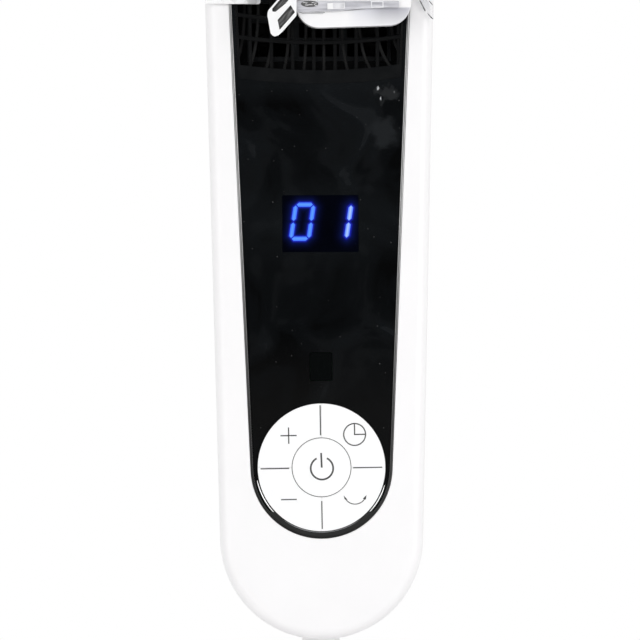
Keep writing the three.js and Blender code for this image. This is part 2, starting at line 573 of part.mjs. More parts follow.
function makeBlower() {
  const { y, radius, bottomZ, topZ, blades } = FAN;
  const discs = [bottomZ, (bottomZ + topZ) / 2 - 1, topZ - 2].map((z) => rodZ(radius, z, z + 2, 0, 0, 24));
  const blade = box([radius - 7, radius - 0.8], [-0.6, 0.6], [bottomZ + 1, topZ - 1]);
  const ring = Array.from({ length: blades }, (_, i) => {
    const tilted = blade.translate([-radius + 4, 0, 0]).rotate([0, 0, 32]).translate([radius - 4.2, 0, 0]);
    return tilted.rotate([0, 0, (360 * i) / blades]);
  });
  const wheel = cut(join(...discs, ...ring), rodZ(3.4, 0, 600, 0, 0, 12));
  put(column, "fan_wheel", wheel, DARK_PLASTIC).position.y = y;
  put(column, "fan_shaft", rodZ(3, 290, 453, 0, 0, 12), STEEL).position.y = y;

  const can = join(rodZ(21, 258, 286, 0, 0, 28), rodZ(9, 285, 292, 0, 0, 20));
  const motor = cut(can, rodZ(3.5, 289, 300, 0, 0, 12));
  put(column, "fan_motor", motor, STEEL).position.y = y;
  const bush = turned([[3.4, HOUSING.topZ + GAP], [9, HOUSING.topZ + GAP], [9, 450], [3.4, 450]], 20);
  put(column, "upper_bearing", bush, NYLON).position.y = y;

  // Two curved cheeks guide the air round the wheel, closed by a plate at each end.
  const cheek = (side) => {
    const line = [[41, -12.4], [38, 0], [33, 12], [32, 26], [35, 40]];
    const inner = line.map(([x, py]) => [side * x, py]);
    const outer = line.map(([x, py]) => [side * (x + 2), py]).reverse();
    const corners = side > 0 ? [...inner, ...outer].reverse() : [...inner, ...outer];
    return prism(polygon(corners), HOUSING.bottomZ, HOUSING.topZ);
  };
  const plate = (z) => box([-43, 43], [-12.4, 42], [z, z + HOUSING.wall]);
  const plates = [plate(HOUSING.bottomZ), plate(HOUSING.topZ - HOUSING.wall)];
  const scroll = join(cheek(1), cheek(-1), ...plates);
  put(column, "blower_housing", cut(scroll, rodZ(5, 200, 600, 0, y, 16)), DARK_PLASTIC);
}

// ---- clip-on water cup --------------------------------------------------------------------

function cupOutline(inset, top) {
  const half = CUP.width / 2 - inset;
  const corner = CUP.corner - inset;
  const floor = -CUP.below + inset;
  const shape = new THREE.Shape();
  shape.absarc(-half + corner, floor + corner, corner, Math.PI, 1.5 * Math.PI, false);
  shape.absarc(half - corner, floor + corner, corner, 1.5 * Math.PI, 2 * Math.PI, false);
  shape.lineTo(half, top);
  shape.lineTo(-half, top);
  shape.closePath();
  return shape;
}

function makeCup() {
  const { front, back } = CUP_DEPTH;
  const outside = slab(cupOutline(0, CUP.above), front, back, 5);
  const inside = slab(cupOutline(1.8, CUP.above + 5), front + 1.8, back - 1.8, 5);
  const pegs = CUP_PEGS.map(([x, z]) => rodY(1.6, back - 0.5, -53.6, x, z, 12));
  put(cup, "cup_body", join(cut(outside, inside), ...pegs), CUP_WHITE);

  // A clear sight strip with one solid and one hollow raised block.
  const strip = box([-30, 23.6], [front - 2, front - GAP], [-5.2, 0.1]);
  const block = box([-14, -4.7], [front - 2.6, front - 1], [-4.9, -1.5]);
  const rim = box([8.9, 15.5], [front - 2.6, front - 1], [-4.9, -1.7]);
  const frame = cut(rim, box([9.6, 14.8], [front - 9, front - 1.8], [-4.2, -2.4]));
  put(cup, "cup_sight_strip", join(strip, block, frame), CLEAR);

  const half = CUP.width / 2;
  const lid = box([-half, half], [front - 0.6, back + 0.4], [CUP.above + GAP, CUP.above + 2.6]);
  const vents = [-18, -6, 6, 18].map((x) => box([x - 3.5, x + 3.5], [front + 3, back - 3], [0, 40]));
  const lidTab = box([-6, 6], [front - 3, front], [CUP.above + GAP, CUP.above + 1.8]);
  put(cup, "cup_lid", join(cut(lid, ...vents), lidTab), CLEAR);
}

// The clear band snaps round the column and carries the cup.
function makeBand() {
  const y0 = -56.7;
  const y1 = -54.7;
  const reach = 63.4;
  const grip = 60.9;
  const low = 339;
  const high = 347;
  const bar = box([-reach, reach], [y0, y1], [low, high]);
  const leftLug = box([-60, -31], [y0, y1], [334.8, low + 1]);
  const arm = [[52.5, 335.8], [59, 326.6], [60, 326], [60, 333], [56.5, 338]];
  const rightLug = slab(polygon([...arm, [56.5, low + 1], [52.5, low + 1]]), y0, y1);
  const hooks = [-1, 1].map((side) => {
    const [a, b] = [side * grip, side * reach].sort((p, q) => p - q);
    return box([a, b], [y0, -40], [low, high]);
  });
  const lean = THREE.MathUtils.degToRad(CUP.tilt);
  const bores = CUP_PEGS.map(([x, z]) => {
    const across = x * Math.cos(lean) - z * Math.sin(lean);
    const up = x * Math.sin(lean) + z * Math.cos(lean);
    return rodY(2, -70, -40, CUP.x + across, CUP.z + up, 12);
  });
  put(column, "carrier_band", cut(join(bar, leftLug, rightLug, ...hooks), ...bores), CLEAR);
}

// A turn latch on the cup's front: a round boss on the pivot, a broad slotted arm beside the strip.
function makeLatch() {
  const y0 = CUP_DEPTH.front - 5.4;
  const y1 = CUP_DEPTH.front - 2.9;
  const half = 6.5;
  const boss = 4.8;
  const outline = new THREE.Shape();
  outline.absarc(0, 0, boss, 0.1, 1.3 * Math.PI, false);
  const tip = [[19.2, -half], [21.8, -5], [27.6, 2.2], [27.5, 5.1], [25.5, 6.2]];
  [[-0.5, -half], ...tip, [22, half], [11.8, half]].forEach(([a, b]) => outline.lineTo(a, b));
  outline.closePath();
  const plate = slab(outline, y0, y1, 6);
  const innerSlot = [[4.6, -5.5], [17.3, -5.5], [18.5, -4.5], [17.5, -3.1], [11, -2], [6, -2]];
  const outerSlot = [[9.7, 0.5], [20, 0.5], [23.2, 4.7], [11, 4.7]];
  const slots = [innerSlot, outerSlot].map((corners) => slab(polygon(corners), -FAR, 0));
  const pin = rodY(2, y1 - 0.5, CUP_DEPTH.front - GAP, 0, 0, 12);
  const latch = put(column, "cup_latch", join(cut(plate, ...slots), pin), CUP_WHITE);
  latch.position.set(-9.4, 0, 340.6);
  latch.rotation.y = Math.PI - THREE.MathUtils.degToRad(48.7);
}

makeBase();
makeTipSwitch();
makeSwivel();
makeShells();
makeGrip();
makeFilter();
makeFascia();
makeOutlet();
makeGuard();
makeKeypad();
makeElectronics();
makeHeater();
makeBlower();
makeCup();
makeBand();
makeLatch();

export default heater;
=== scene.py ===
"""The looks of a slim ceramic tower heater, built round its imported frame.

Sizes below are millimetres; make() turns them into metres. Column pieces count their height from
the column's lowest point, which is COLUMN above the floor. The front faces -Y.
"""

import math  # noqa: E402
import random  # noqa: E402

import bmesh  # noqa: E402
import bpy  # noqa: E402
from mathutils import Matrix, Vector  # noqa: E402


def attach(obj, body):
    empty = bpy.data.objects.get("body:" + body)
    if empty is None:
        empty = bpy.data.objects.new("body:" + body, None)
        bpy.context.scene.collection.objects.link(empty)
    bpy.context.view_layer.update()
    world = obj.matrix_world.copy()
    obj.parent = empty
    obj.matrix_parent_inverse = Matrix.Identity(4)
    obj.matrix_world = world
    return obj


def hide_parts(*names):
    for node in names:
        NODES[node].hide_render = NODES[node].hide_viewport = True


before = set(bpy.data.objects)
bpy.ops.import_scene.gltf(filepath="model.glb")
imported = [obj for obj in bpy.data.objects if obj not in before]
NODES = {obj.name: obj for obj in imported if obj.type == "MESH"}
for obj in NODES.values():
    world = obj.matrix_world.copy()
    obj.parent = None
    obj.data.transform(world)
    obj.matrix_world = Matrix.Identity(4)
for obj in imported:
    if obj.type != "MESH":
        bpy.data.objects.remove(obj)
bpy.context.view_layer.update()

MM = 0.001
COLUMN = 58.0
BODY = (53.5, 53.5, 62.5, 436.0)  # low radius, low centre, high radius, high centre
INSET = (37.3, 90.6, 52.0, 436.0)
OUTLET_Z = 292.5
ARC_R = 290.0
KEYS_Z = 90.8

# ---------------------------------------------------------------------------------- materials


def principled(name, **sockets):
    material = bpy.data.materials.new(name)
    material.use_nodes = True
    tree = material.node_tree
    shader = tree.nodes["Principled BSDF"]
    for key, value in sockets.items():
        shader.inputs[key.replace("_", " ")].default_value = value
    return material, tree, shader


def coordinates(tree, stretch=(1, 1, 1)):
    """The piece's own coordinates in metres, stretched along an axis if asked."""
    where = tree.nodes.new("ShaderNodeTexCoord")
    mapping = tree.nodes.new("ShaderNodeMapping")
    mapping.inputs["Scale"].default_value = stretch
    tree.links.new(where.outputs["Object"], mapping.inputs["Vector"])
    return mapping.outputs["Vector"]


def noise(tree, vector, scale, detail=3.0, rough=0.55, swirl=0.0):
    node = tree.nodes.new("ShaderNodeTexNoise")
    node.inputs["Scale"].default_value = scale
    node.inputs["Detail"].default_value = detail
    node.inputs["Roughness"].default_value = rough
    node.inputs["Distortion"].default_value = swirl
    tree.links.new(vector, node.inputs["Vector"])
    return node.outputs["Fac"]


def ranged(tree, value, low, high, start=0.3, end=0.7):
    node = tree.nodes.new("ShaderNodeMapRange")
    node.inputs["From Min"].default_value = start
    node.inputs["From Max"].default_value = end
    node.inputs["To Min"].default_value = low
    node.inputs["To Max"].default_value = high
    tree.links.new(value, node.inputs["Value"])
    return node.outputs["Result"]


def ramp(tree, value, stops):
    node = tree.nodes.new("ShaderNodeValToRGB")
    bar = node.color_ramp
    while len(bar.elements) < len(stops):
        bar.elements.new(0.5)
    for element, (place, colour) in zip(bar.elements, stops):
        element.position = place
        element.color = (*colour, 1.0)
    tree.links.new(value, node.inputs["Fac"])
    return node.outputs["Color"]


def bump(tree, shader, height, depth_mm, after=None):
    node = tree.nodes.new("ShaderNodeBump")
    node.inputs["Strength"].default_value = 1.0
    node.inputs["Distance"].default_value = depth_mm * MM
    tree.links.new(height, node.inputs["Height"])
    if after is not None:
        tree.links.new(after, node.inputs["Normal"])
    tree.links.new(node.outputs["Normal"], shader.inputs["Normal"])
    return node.outputs["Normal"]


def moulded(name, low, high, rough, grain=2600.0, depth=0.01, patch=22.0, stretch=(1, 1, 1), **more):
    """A moulded plastic: soft colour drift, uneven polish and a fine surface grain."""
    material, tree, shader = principled(name, **more)
    vector = coordinates(tree, stretch)
    drift = noise(tree, vector, patch, 4.0)
    tree.links.new(ramp(tree, drift, [(0.3, low), (0.7, high)]), shader.inputs["Base Color"])
    polish = noise(tree, vector, patch * 9.0, 3.0)
    tree.links.new(ranged(tree, polish, *rough), shader.inputs["Roughness"])
    fine = noise(tree, vector, grain, 2.0)
    bump(tree, shader, fine, depth)
    return material


def grey(value, tint=0.0):
    return (value * (1 - tint), value, value * (1 + tint))


SHELL = moulded("shell_white", (0.93, 0.922, 0.928), (0.95, 0.942, 0.948), (0.34, 0.42), 1500, 0.004)
KEY = moulded("key_white", (0.945, 0.945, 0.947), (0.96, 0.96, 0.962), (0.5, 0.58), 3200, 0.006)
CUP = moulded(
    "cup_white", (0.93, 0.93, 0.94), (0.96, 0.96, 0.965), (0.16, 0.26), 900, 0.004,
    Subsurface_Weight=0.25, Subsurface_Radius=(0.006, 0.006, 0.006),
)
SATIN = moulded(
    "grille_black", grey(0.0028, 0.08), grey(0.0042, 0.08), (0.42, 0.55), 2600, 0.02, Specular_IOR_Level=0.08
)
GUARD = moulded(
    "guard_black", grey(0.013, 0.02), grey(0.019, 0.02), (0.35, 0.48), 2600, 0.02, Specular_IOR_Level=0.15
)
DARK = moulded("dark_plastic", grey(0.022), grey(0.032), (0.5, 0.62), 1800, 0.05)
RIM = moulded("rim_black", grey(0.0038, 0.12), grey(0.0054, 0.12), (0.3, 0.42), 2600, 0.01, Specular_IOR_Level=0.12)
# Partly painted shade: black inner parts, painted darker still for the shade inside the column.
INNER = moulded(
    "inner_black_painted_shade", grey(0.0028, 0.1), grey(0.005, 0.1), (0.6, 0.75), 1500, 0.05, Specular_IOR_Level=0.05
)
NYLON = moulded("natural_nylon", (0.78, 0.74, 0.64), (0.86, 0.83, 0.74), (0.4, 0.55), 1500, 0.03)
BOARD = moulded("circuit_board", (0.02, 0.11, 0.045), (0.04, 0.17, 0.07), (0.3, 0.5), 420, 0.05)
RUBBER = moulded("black_rubber", grey(0.014), grey(0.024), (0.72, 0.86), 1400, 0.06)
CRESCENT = moulded(
    "crescent_black", grey(0.02), grey(0.026), (0.3, 0.4), 2600, 0.01, Specular_IOR_Level=0.25
)
INK = moulded("key_print", grey(0.045), grey(0.06), (0.5, 0.6), 3000, 0.002)
FAINT = moulded("dark_print", grey(0.0065, 0.2), grey(0.008, 0.2), (0.3, 0.4), 3000, 0.001)
MESH = moulded("filter_mesh", grey(0.03), grey(0.05), (0.5, 0.7), 4000, 0.02)


def metal(name, low, high, rough, stretch, scale=900.0, depth=0.01):
    material, tree, shader = principled(name, Metallic=1.0)
    vector = coordinates(tree, stretch)
    streaks = noise(tree, vector, scale, 5.0, 0.6)
    tree.links.new(ramp(tree, streaks, [(0.3, low), (0.7, high)]), shader.inputs["Base Color"])
    tree.links.new(ranged(tree, streaks, *rough), shader.inputs["Roughness"])
    bump(tree, shader, streaks, depth)
    return material


STEEL = metal("zinc_steel", grey(0.5), grey(0.66), (0.25, 0.42), (1, 1, 0.08))
# Painted shade: the heater core's fins are painted near black, for the shade deep inside the column.
FINS = moulded("fins_painted_dark", grey(0.012, 0.1), grey(0.02, 0.1), (0.5, 0.65), 900, 0.01, 22.0, (0.15, 1, 1), Specular_IOR_Level=0.1)


def trim_metal():
    """A plated line with painted reflection: dark towards its lower end, light higher up, and painted lighter on its
    right side.
    """
    material, tree, shader = principled("trim_line", Metallic=1.0, Roughness=0.3)
    vector = coordinates(tree)
    split = tree.nodes.new("ShaderNodeSeparateXYZ")
    tree.links.new(vector, split.inputs["Vector"])
    # Painted reflection: the colour runs from dark at the lower end to light higher up.
    height = ranged(tree, split.outputs["Z"], 0.0, 1.0, (COLUMN + 55) * MM, (COLUMN + 235) * MM)
    stops = [(0.0, grey(0.03)), (0.35, grey(0.05)), (0.7, grey(0.16)), (1.0, grey(0.34))]
    # Painted highlight: a lighter copy of the colours for the right side.
    right_sheen_stops = [(0.0, grey(0.035)), (0.35, grey(0.08)), (0.7, grey(0.22)), (1.0, grey(0.36))]
    side = ranged(tree, split.outputs["X"], 0.0, 1.0, -0.01, 0.02)
    side_sheen_blend = tree.nodes.new("ShaderNodeMix")
    side_sheen_blend.data_type = "RGBA"
    tree.links.new(side, side_sheen_blend.inputs["Factor"])
    tree.links.new(ramp(tree, height, stops), side_sheen_blend.inputs["A"])
    tree.links.new(ramp(tree, height, right_sheen_stops), side_sheen_blend.inputs["B"])
    tree.links.new(side_sheen_blend.outputs["Result"], shader.inputs["Base Color"])
    bump(tree, shader, noise(tree, vector, 1800.0), 0.003)
    return material


def spot(tree, vector, place, reach, ragged=0.3, soft=0.4):
    """1 inside an oval on the front, falling to 0 towards its ragged edge."""
    mapping = tree.nodes.new("ShaderNodeMapping")
    mapping.vector_type = "TEXTURE"
    mapping.inputs["Location"].default_value = (place[0] * MM, -0.0534, (place[1] + COLUMN) * MM)
    mapping.inputs["Scale"].default_value = (reach[0] * MM, 1.0, reach[1] * MM)
    tree.links.new(vector, mapping.inputs["Vector"])
    size = tree.nodes.new("ShaderNodeVectorMath")
    size.operation = "LENGTH"
    tree.links.new(mapping.outputs["Vector"], size.inputs[0])
    wobble = tree.nodes.new("ShaderNodeMath")
    tree.links.new(size.outputs["Value"], wobble.inputs[0])
    edge = noise(tree, vector, 1300.0 / reach[0], 2.0)
    tree.links.new(ranged(tree, edge, -ragged, ragged), wobble.inputs[1])
    return ranged(tree, wobble.outputs["Value"], 1.0, 0.0, 1.0 - soft, 1.0)


def gloss_black():
    """Lacquered black with cloudy depth, painted reflections that lighten it low down, in bands by height and round the
    read-out, lighter patches with bright spots near the top, and a few specks of dust.
    """
    material, tree, shader = principled("fascia_black", Specular_IOR_Level=0.35)
    vector = coordinates(tree)
    cloud = noise(tree, vector, 24.0, 3.0, 0.5, 1.1)
    stops = [
        (0.4, grey(0.0016, 0.1)), (0.44, grey(0.0028, 0.15)), (0.53, grey(0.0036, 0.16)),
        (0.56, grey(0.0054, 0.12)), (0.64, grey(0.0062, 0.16)), (0.66, grey(0.01, 0.12)),
    ]
    colour = ramp(tree, cloud, stops)
    split = tree.nodes.new("ShaderNodeSeparateXYZ")
    tree.links.new(vector, split.inputs["Vector"])
    # Painted reflection: lighter at the bottom, by the key pad.
    low = ranged(tree, split.outputs["Z"], 1.0, 0.0, (COLUMN + 55) * MM, (COLUMN + 85) * MM)
    colour = mixed(tree, low, colour, grey(0.02))
    # Painted reflection: a lighter band lower on the panel.
    lower = ranged(tree, split.outputs["Z"], 0.6, 0.0, (COLUMN + 120) * MM, (COLUMN + 160) * MM)
    colour = mixed(tree, lower, colour, grey(0.0075))
    # Painted reflection: lighter just below the outlet.
    high = ranged(tree, split.outputs["Z"], 0.0, 0.55, (COLUMN + 282) * MM, (COLUMN + 291) * MM)
    colour = mixed(tree, high, colour, grey(0.0085, 0.15))
    # Painted reflection: a broad lighter band round the read-out.
    beside = spot(tree, vector, (0, 219), (90, 26), 0.2, 0.9)
    colour = mixed(tree, ranged(tree, beside, 0.0, 0.5, 0.0, 1.0), colour, grey(0.011, 0.16))
    haze = spot(tree, vector, (33.5, 267), (9.0, 10.5), 0.3, 0.45)
    colour = mixed(tree, ranged(tree, haze, 0.0, 0.7, 0.0, 1.0), colour, grey(0.019, 0.1))
    colour = mixed(tree, spot(tree, vector, (36, 286.8), (6.4, 4.8), 0.6, 0.5), colour, grey(0.019, 0.06))
    for place, reach, light in (((30.6, 290), (0.8, 1.0), 0.45), ((32, 284.6), (0.45, 1.2), 0.45), ((39.2, 288.2), (0.4, 0.8), 0.14)):
        colour = mixed(tree, spot(tree, vector, place, reach, 0.5, 0.6), colour, grey(light, 0.03))
    flat = tree.nodes.new("ShaderNodeCombineXYZ")
    tree.links.new(split.outputs["X"], flat.inputs["X"])
    tree.links.new(split.outputs["Z"], flat.inputs["Y"])
    cells = tree.nodes.new("ShaderNodeTexVoronoi")
    cells.voronoi_dimensions = "2D"
    cells.inputs["Scale"].default_value = 85.0
    tree.links.new(flat.outputs["Vector"], cells.inputs["Vector"])
    speck = ranged(tree, cells.outputs["Distance"], 0.5, 0.0, 0.01, 0.034)
    rare = ranged(tree, noise(tree, vector, 55.0, 0.0), 0.0, 1.0, 0.5, 0.75)
    chance = tree.nodes.new("ShaderNodeMath")
    chance.operation = "MULTIPLY"
    tree.links.new(speck, chance.inputs[0])
    tree.links.new(rare, chance.inputs[1])
    colour = mixed(tree, chance.outputs["Value"], colour, grey(0.16))
    tree.links.new(colour, shader.inputs["Base Color"])
    tree.links.new(ranged(tree, noise(tree, vector, 90.0), 0.05, 0.1), shader.inputs["Roughness"])
    bump(tree, shader, noise(tree, vector, 60.0, 1.0), 0.004)
    return material


def mixed(tree, factor, colour, other):
    node = tree.nodes.new("ShaderNodeMix")
    node.data_type = "RGBA"
    tree.links.new(factor, node.inputs["Factor"])
    tree.links.new(colour, node.inputs["A"])
    node.inputs["B"].default_value = (*other, 1.0)
    return node.outputs["Result"]


def clear_plastic():
    """Thin clear plastic: faint haze, clearer and cloudier in turn, with glossy edges."""
    material, tree, shader = principled("clear_plastic", Base_Color=(0.86, 0.87, 0.9, 1.0), IOR=1.49)
    vector = coordinates(tree)
    haze = ranged(tree, noise(tree, vector, 240.0), 0.03, 0.14)
    rim = tree.nodes.new("ShaderNodeFresnel")
    rim.inputs["IOR"].default_value = 1.33
    total = tree.nodes.new("ShaderNodeMath")
    total.use_clamp = True
    tree.links.new(haze, total.inputs[0])
    tree.links.new(rim.outputs["Fac"], total.inputs[1])
    tree.links.new(total.outputs["Value"], shader.inputs["Alpha"])
    tree.links.new(ranged(tree, noise(tree, vector, 160.0), 0.03, 0.1), shader.inputs["Roughness"])
    bump(tree, shader, noise(tree, vector, 260.0), 0.03)
    return material


def thin_and_shaded_lug():
    """White where the lug is thick, turning to a clear grey towards its free end: partly the clear plastic thinning,
    partly painted shade.
    """
    material, tree, shader = principled("band_lug", Roughness=0.25)
    vector = coordinates(tree)
    split = tree.nodes.new("ShaderNodeSeparateXYZ")
    tree.links.new(vector, split.inputs["Vector"])
    across = ranged(tree, split.outputs["X"], 0.0, 1.0, -0.0395, -0.031)
    cloudy = ranged(tree, noise(tree, vector, 420.0), -0.12, 0.12)
    total = tree.nodes.new("ShaderNodeMath")
    tree.links.new(across, total.inputs[0])
    tree.links.new(cloudy, total.inputs[1])
    # Partly painted shade: the greys along the lug are set by place.
    stops = [(0.0, (0.95, 0.95, 0.95)), (0.2, (0.6, 0.6, 0.6)), (0.7, (0.42, 0.42, 0.43)), (1.0, (0.75, 0.75, 0.76))]
    tree.links.new(ramp(tree, total.outputs["Value"], stops), shader.inputs["Base Color"])
    tree.links.new(cloudy, shader.inputs["Coat Weight"])
    bump(tree, shader, noise(tree, vector, 700.0), 0.01)
    return material


def streaky_slot():
    """Dark clear plastic in the latch's slots, with light streaks along the latch."""
    material, tree, shader = principled("smoky_slot", Roughness=0.2)
    where = tree.nodes.new("ShaderNodeTexCoord")
    mapping = tree.nodes.new("ShaderNodeMapping")
    mapping.inputs["Rotation"].default_value = (0, math.radians(-48.7), 0)
    mapping.vector_type = "TEXTURE"
    mapping.inputs["Scale"].default_value = (8.0, 1.0, 1.0)
    tree.links.new(where.outputs["Object"], mapping.inputs["Vector"])
    vector = mapping.outputs["Vector"]
    streaks = noise(tree, vector, 620.0, 2.0, 0.5)
    stops = [(0.35, grey(0.035)), (0.5, grey(0.075)), (0.6, grey(0.2)), (0.66, grey(0.42)), (0.72, grey(0.1))]
    tree.links.new(ramp(tree, streaks, stops), shader.inputs["Base Color"])
    tree.links.new(ranged(tree, streaks, 0.12, 0.3), shader.inputs["Roughness"])
    bump(tree, shader, streaks, 0.01)
    return material


def shaded_cup():
    """Cup white with a painted reflection: it turns to a cool grey towards the right end of the cup's face, fading out
    low down and white above a line near the top.
    """
    material, tree, shader = principled("cup_face", Roughness=0.22)
    vector = coordinates(tree)
    split = tree.nodes.new("ShaderNodeSeparateXYZ")
    tree.links.new(vector, split.inputs["Vector"])
    # Painted reflection: grey across the right part of the face.
    across = ranged(tree, split.outputs["X"], 0.0, 1.0, 0.014, 0.049)
    stops = [
        (0.0, (0.95, 0.945, 0.95)), (0.13, (0.8, 0.8, 0.84)), (0.31, (0.67, 0.67, 0.72)), (0.52, (0.45, 0.45, 0.495)),
        (0.76, (0.41, 0.41, 0.455)), (0.9, (0.52, 0.52, 0.57)), (1.0, (0.74, 0.74, 0.78)),
    ]
    # The painted grey fades out towards the bottom, and stops above a line near the top.
    low = ranged(tree, split.outputs["Z"], 1.0, 0.0, (COLUMN + 319.5) * MM, (COLUMN + 331.5) * MM)
    colour = mixed(tree, low, ramp(tree, across, stops), (0.95, 0.95, 0.96))
    high = ranged(tree, split.outputs["Z"], 0.0, 1.0, (COLUMN + 331.2) * MM, (COLUMN + 332.2) * MM)
    colour = mixed(tree, high, colour, (0.96, 0.955, 0.96))
    tree.links.new(colour, shader.inputs["Base Color"])
    tree.links.new(ranged(tree, noise(tree, vector, 200.0), 0.16, 0.26), shader.inputs["Roughness"])
    bump(tree, shader, noise(tree, vector, 900.0), 0.004)
    return material



TRIM = trim_metal()
GLOSS = gloss_black()
# Painted highlight: a bright metal for the thin lines round the key pad.
HIGHLIGHT_METAL = metal("highlight_line_metal", grey(0.85), grey(0.95), (0.3, 0.4), (1, 1, 1))
CLEAR = clear_plastic()
FACE = shaded_cup()
STRIP = moulded("frosted_strip", (0.4, 0.4, 0.435), (0.76, 0.76, 0.8), (0.1, 0.25), 700, 0.01, 60.0, (1, 1, 9))
PALE = moulded("pale_strip", (0.76, 0.76, 0.79), (0.84, 0.84, 0.86), (0.15, 0.3), 900, 0.01, 90.0)
# Grey for the strip's ledge lines, and for a painted shadow line under the strip and a painted highlight under the key
# pad.
LEDGE_AND_PAINTED_LINES = moulded("ledge_and_painted_line_grey", grey(0.22, 0.03), grey(0.36, 0.03), (0.15, 0.3), 700, 0.01, 120.0)
LUG = thin_and_shaded_lug()
SLOT = streaky_slot()
SMOKY = moulded("smoky_oval", grey(0.05), grey(0.16), (0.12, 0.3), 700, 0.01, 260.0)


def glowing(name, colour, edge):
    """A lit segment: brightest along its middle, where the attribute 'core' is 1."""
    material, tree, shader = principled(name, Base_Color=(0.01, 0.02, 0.1, 1.0), Roughness=0.3)
    core = tree.nodes.new("ShaderNodeAttribute")
    core.attribute_name = "core"
    tree.links.new(ramp(tree, core.outputs["Fac"], [(0.0, edge), (1.0, colour)]), shader.inputs["Emission Color"])
    shader.inputs["Emission Strength"].default_value = 1.0
    return material


def smoked():
    """The read-out's smoked window, lit by its digits where the attribute 'halo' says so."""
    material, tree, shader = principled("display_lens", IOR=1.49, Specular_IOR_Level=0.15)
    vector = coordinates(tree)
    drift = noise(tree, vector, 30.0)
    low, high = (0.0003, 0.0005, 0.0018), (0.0009, 0.0014, 0.0042)
    tree.links.new(ramp(tree, drift, [(0.3, low), (0.7, high)]), shader.inputs["Base Color"])
    tree.links.new(ranged(tree, noise(tree, vector, 200.0), 0.05, 0.1), shader.inputs["Roughness"])
    bump(tree, shader, noise(tree, vector, 420.0), 0.0006)
    glow = tree.nodes.new("ShaderNodeAttribute")
    glow.attribute_name = "halo"
    stops = [
        (0.0, (0, 0, 0)), (0.08, (0.0008, 0.0012, 0.01)), (0.2, (0.0015, 0.003, 0.022)),
        (0.6, (0.003, 0.005, 0.085)), (1.0, (0.014, 0.022, 0.5)),
    ]
    tree.links.new(ramp(tree, glow.outputs["Fac"], stops), shader.inputs["Emission Color"])
    shader.inputs["Emission Strength"].default_value = 1.0
    return material


LENS = smoked()
WINDOW = moulded(
    "receiver_window", (0.0018, 0.0023, 0.0024), (0.0026, 0.0032, 0.0033), (0.06, 0.12), 420, 0.0008,
    Specular_IOR_Level=0.2,
)
LED = glowing("blue_segment", (0.10, 0.33, 1.0), (0.035, 0.13, 0.92))
LED_BRIGHT = glowing("blue_segment_bright", (0.42, 0.6, 1.0), (0.045, 0.16, 0.95))

# ------------------------------------------------------------------------------- mesh building


def make(name, verts, faces, material, body, stands_for=(), slot=None, lift=COLUMN, sharp=32.0):
    """A named piece from points in millimetres that rides on a body."""
    mesh = bpy.data.meshes.new(name)
    mesh.from_pydata([(x * MM, y * MM, (z + lift) * MM) for x, y, z in verts], [], faces)
    build = bmesh.new()
    build.from_mesh(mesh)
    bmesh.ops.remove_doubles(build, verts=build.verts, dist=1e-7)
    bmesh.ops.recalc_face_normals(build, faces=build.faces)
    build.to_mesh(mesh)
    build.free()
    obj = bpy.data.objects.new(name, mesh)
    bpy.context.scene.collection.objects.link(obj)
    obj.data.materials.append(material)
    smooth(obj, sharp)
    if body:
        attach(obj, body)
        if stands_for:
            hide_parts(*stands_for)
    return obj


def smooth(obj, sharp=32.0):
    obj.data.polygons.foreach_set("use_smooth", [True] * len(obj.data.polygons))
    obj.data.set_sharp_from_angle(angle=math.radians(sharp))
    obj.data.update()


def flat_faces(obj):
    """Large faces keep their own direction, and only the narrow edge faces blend."""
    weigh = obj.modifiers.new("weigh", "WEIGHTED_NORMAL")
    weigh.keep_sharp = True
    weigh.weight = 100
    apply_modifiers(obj)


def apply_modifiers(obj):
    bpy.context.view_layer.update()
    graph = bpy.context.evaluated_depsgraph_get()
    mesh = bpy.data.meshes.new_from_object(obj.evaluated_get(graph))
    obj.modifiers.clear()
    old, obj.data = obj.data, mesh
    bpy.data.meshes.remove(old)


def settle(obj, sharp=32.0):
    """Turns a piece's modifiers into its mesh."""
    apply_modifiers(obj)
    smooth(obj, sharp)
    return obj


def bevelled(obj, width, segments=2, angle=40.0, sharp=50.0):
    bevel = obj.modifiers.new("edge", "BEVEL")
    bevel.width = width * MM
    bevel.segments = segments
    bevel.limit_method = "ANGLE"
    bevel.angle_limit = math.radians(angle)
    bevel.use_clamp_overlap = True
    settle(obj, sharp)
    flat_faces(obj)
    return obj


def carve(obj, *cutters, how="DIFFERENCE"):
    for cutter in cutters:
        step = obj.modifiers.new("cut", "BOOLEAN")
        step.operation = how
        step.solver = "EXACT"
        step.object = cutter
    settle(obj)
    for cutter in cutters:
        mesh = cutter.data
        bpy.data.objects.remove(cutter)
        bpy.data.meshes.remove(mesh)
    return obj


def loft(rings, wrap=False):
    """Points and faces of a skin over equal rings; open ends are capped."""
    count = len(rings[0])
    verts = [p for ring in rings for p in ring]
    faces = []
    for i in range(len(rings) - (0 if wrap else 1)):
        a, b = i * count, ((i + 1) % len(rings)) * count
        for j in range(count):
            k = (j + 1) % count
            faces.append((a + j, a + k, b + k, b + j))
    if not wrap:
        faces.append(tuple(range(count))[::-1])
        faces.append(tuple(range(len(verts) - count, len(verts))))
    return verts, faces


def capsule(spec, inset=0.0, arc=44, side=24):
    """A tapered capsule's outline as (x, z), anticlockwise seen from the front."""
    low_r, low_z, high_r, high_z = spec
    lean = math.asin((high_r - low_r) / (high_z - low_z))

    def sweep(radius, z, start, end):
        turn = [start + (end - start) * i / arc for i in range(arc + 1)]
        return [(radius * math.cos(t), z + radius * math.sin(t)) for t in turn]

    low = sweep(low_r - inset, low_z, math.pi + lean, 2 * math.pi - lean)
    high = sweep(high_r - inset, high_z, -lean, math.pi + lean)

    def along(a, b):
        return [(a[0] + (b[0] - a[0]) * i / side, a[1] + (b[1] - a[1]) * i / side) for i in range(1, side)]

    return low + along(low[-1], high[0]) + high + along(high[-1], low[0])


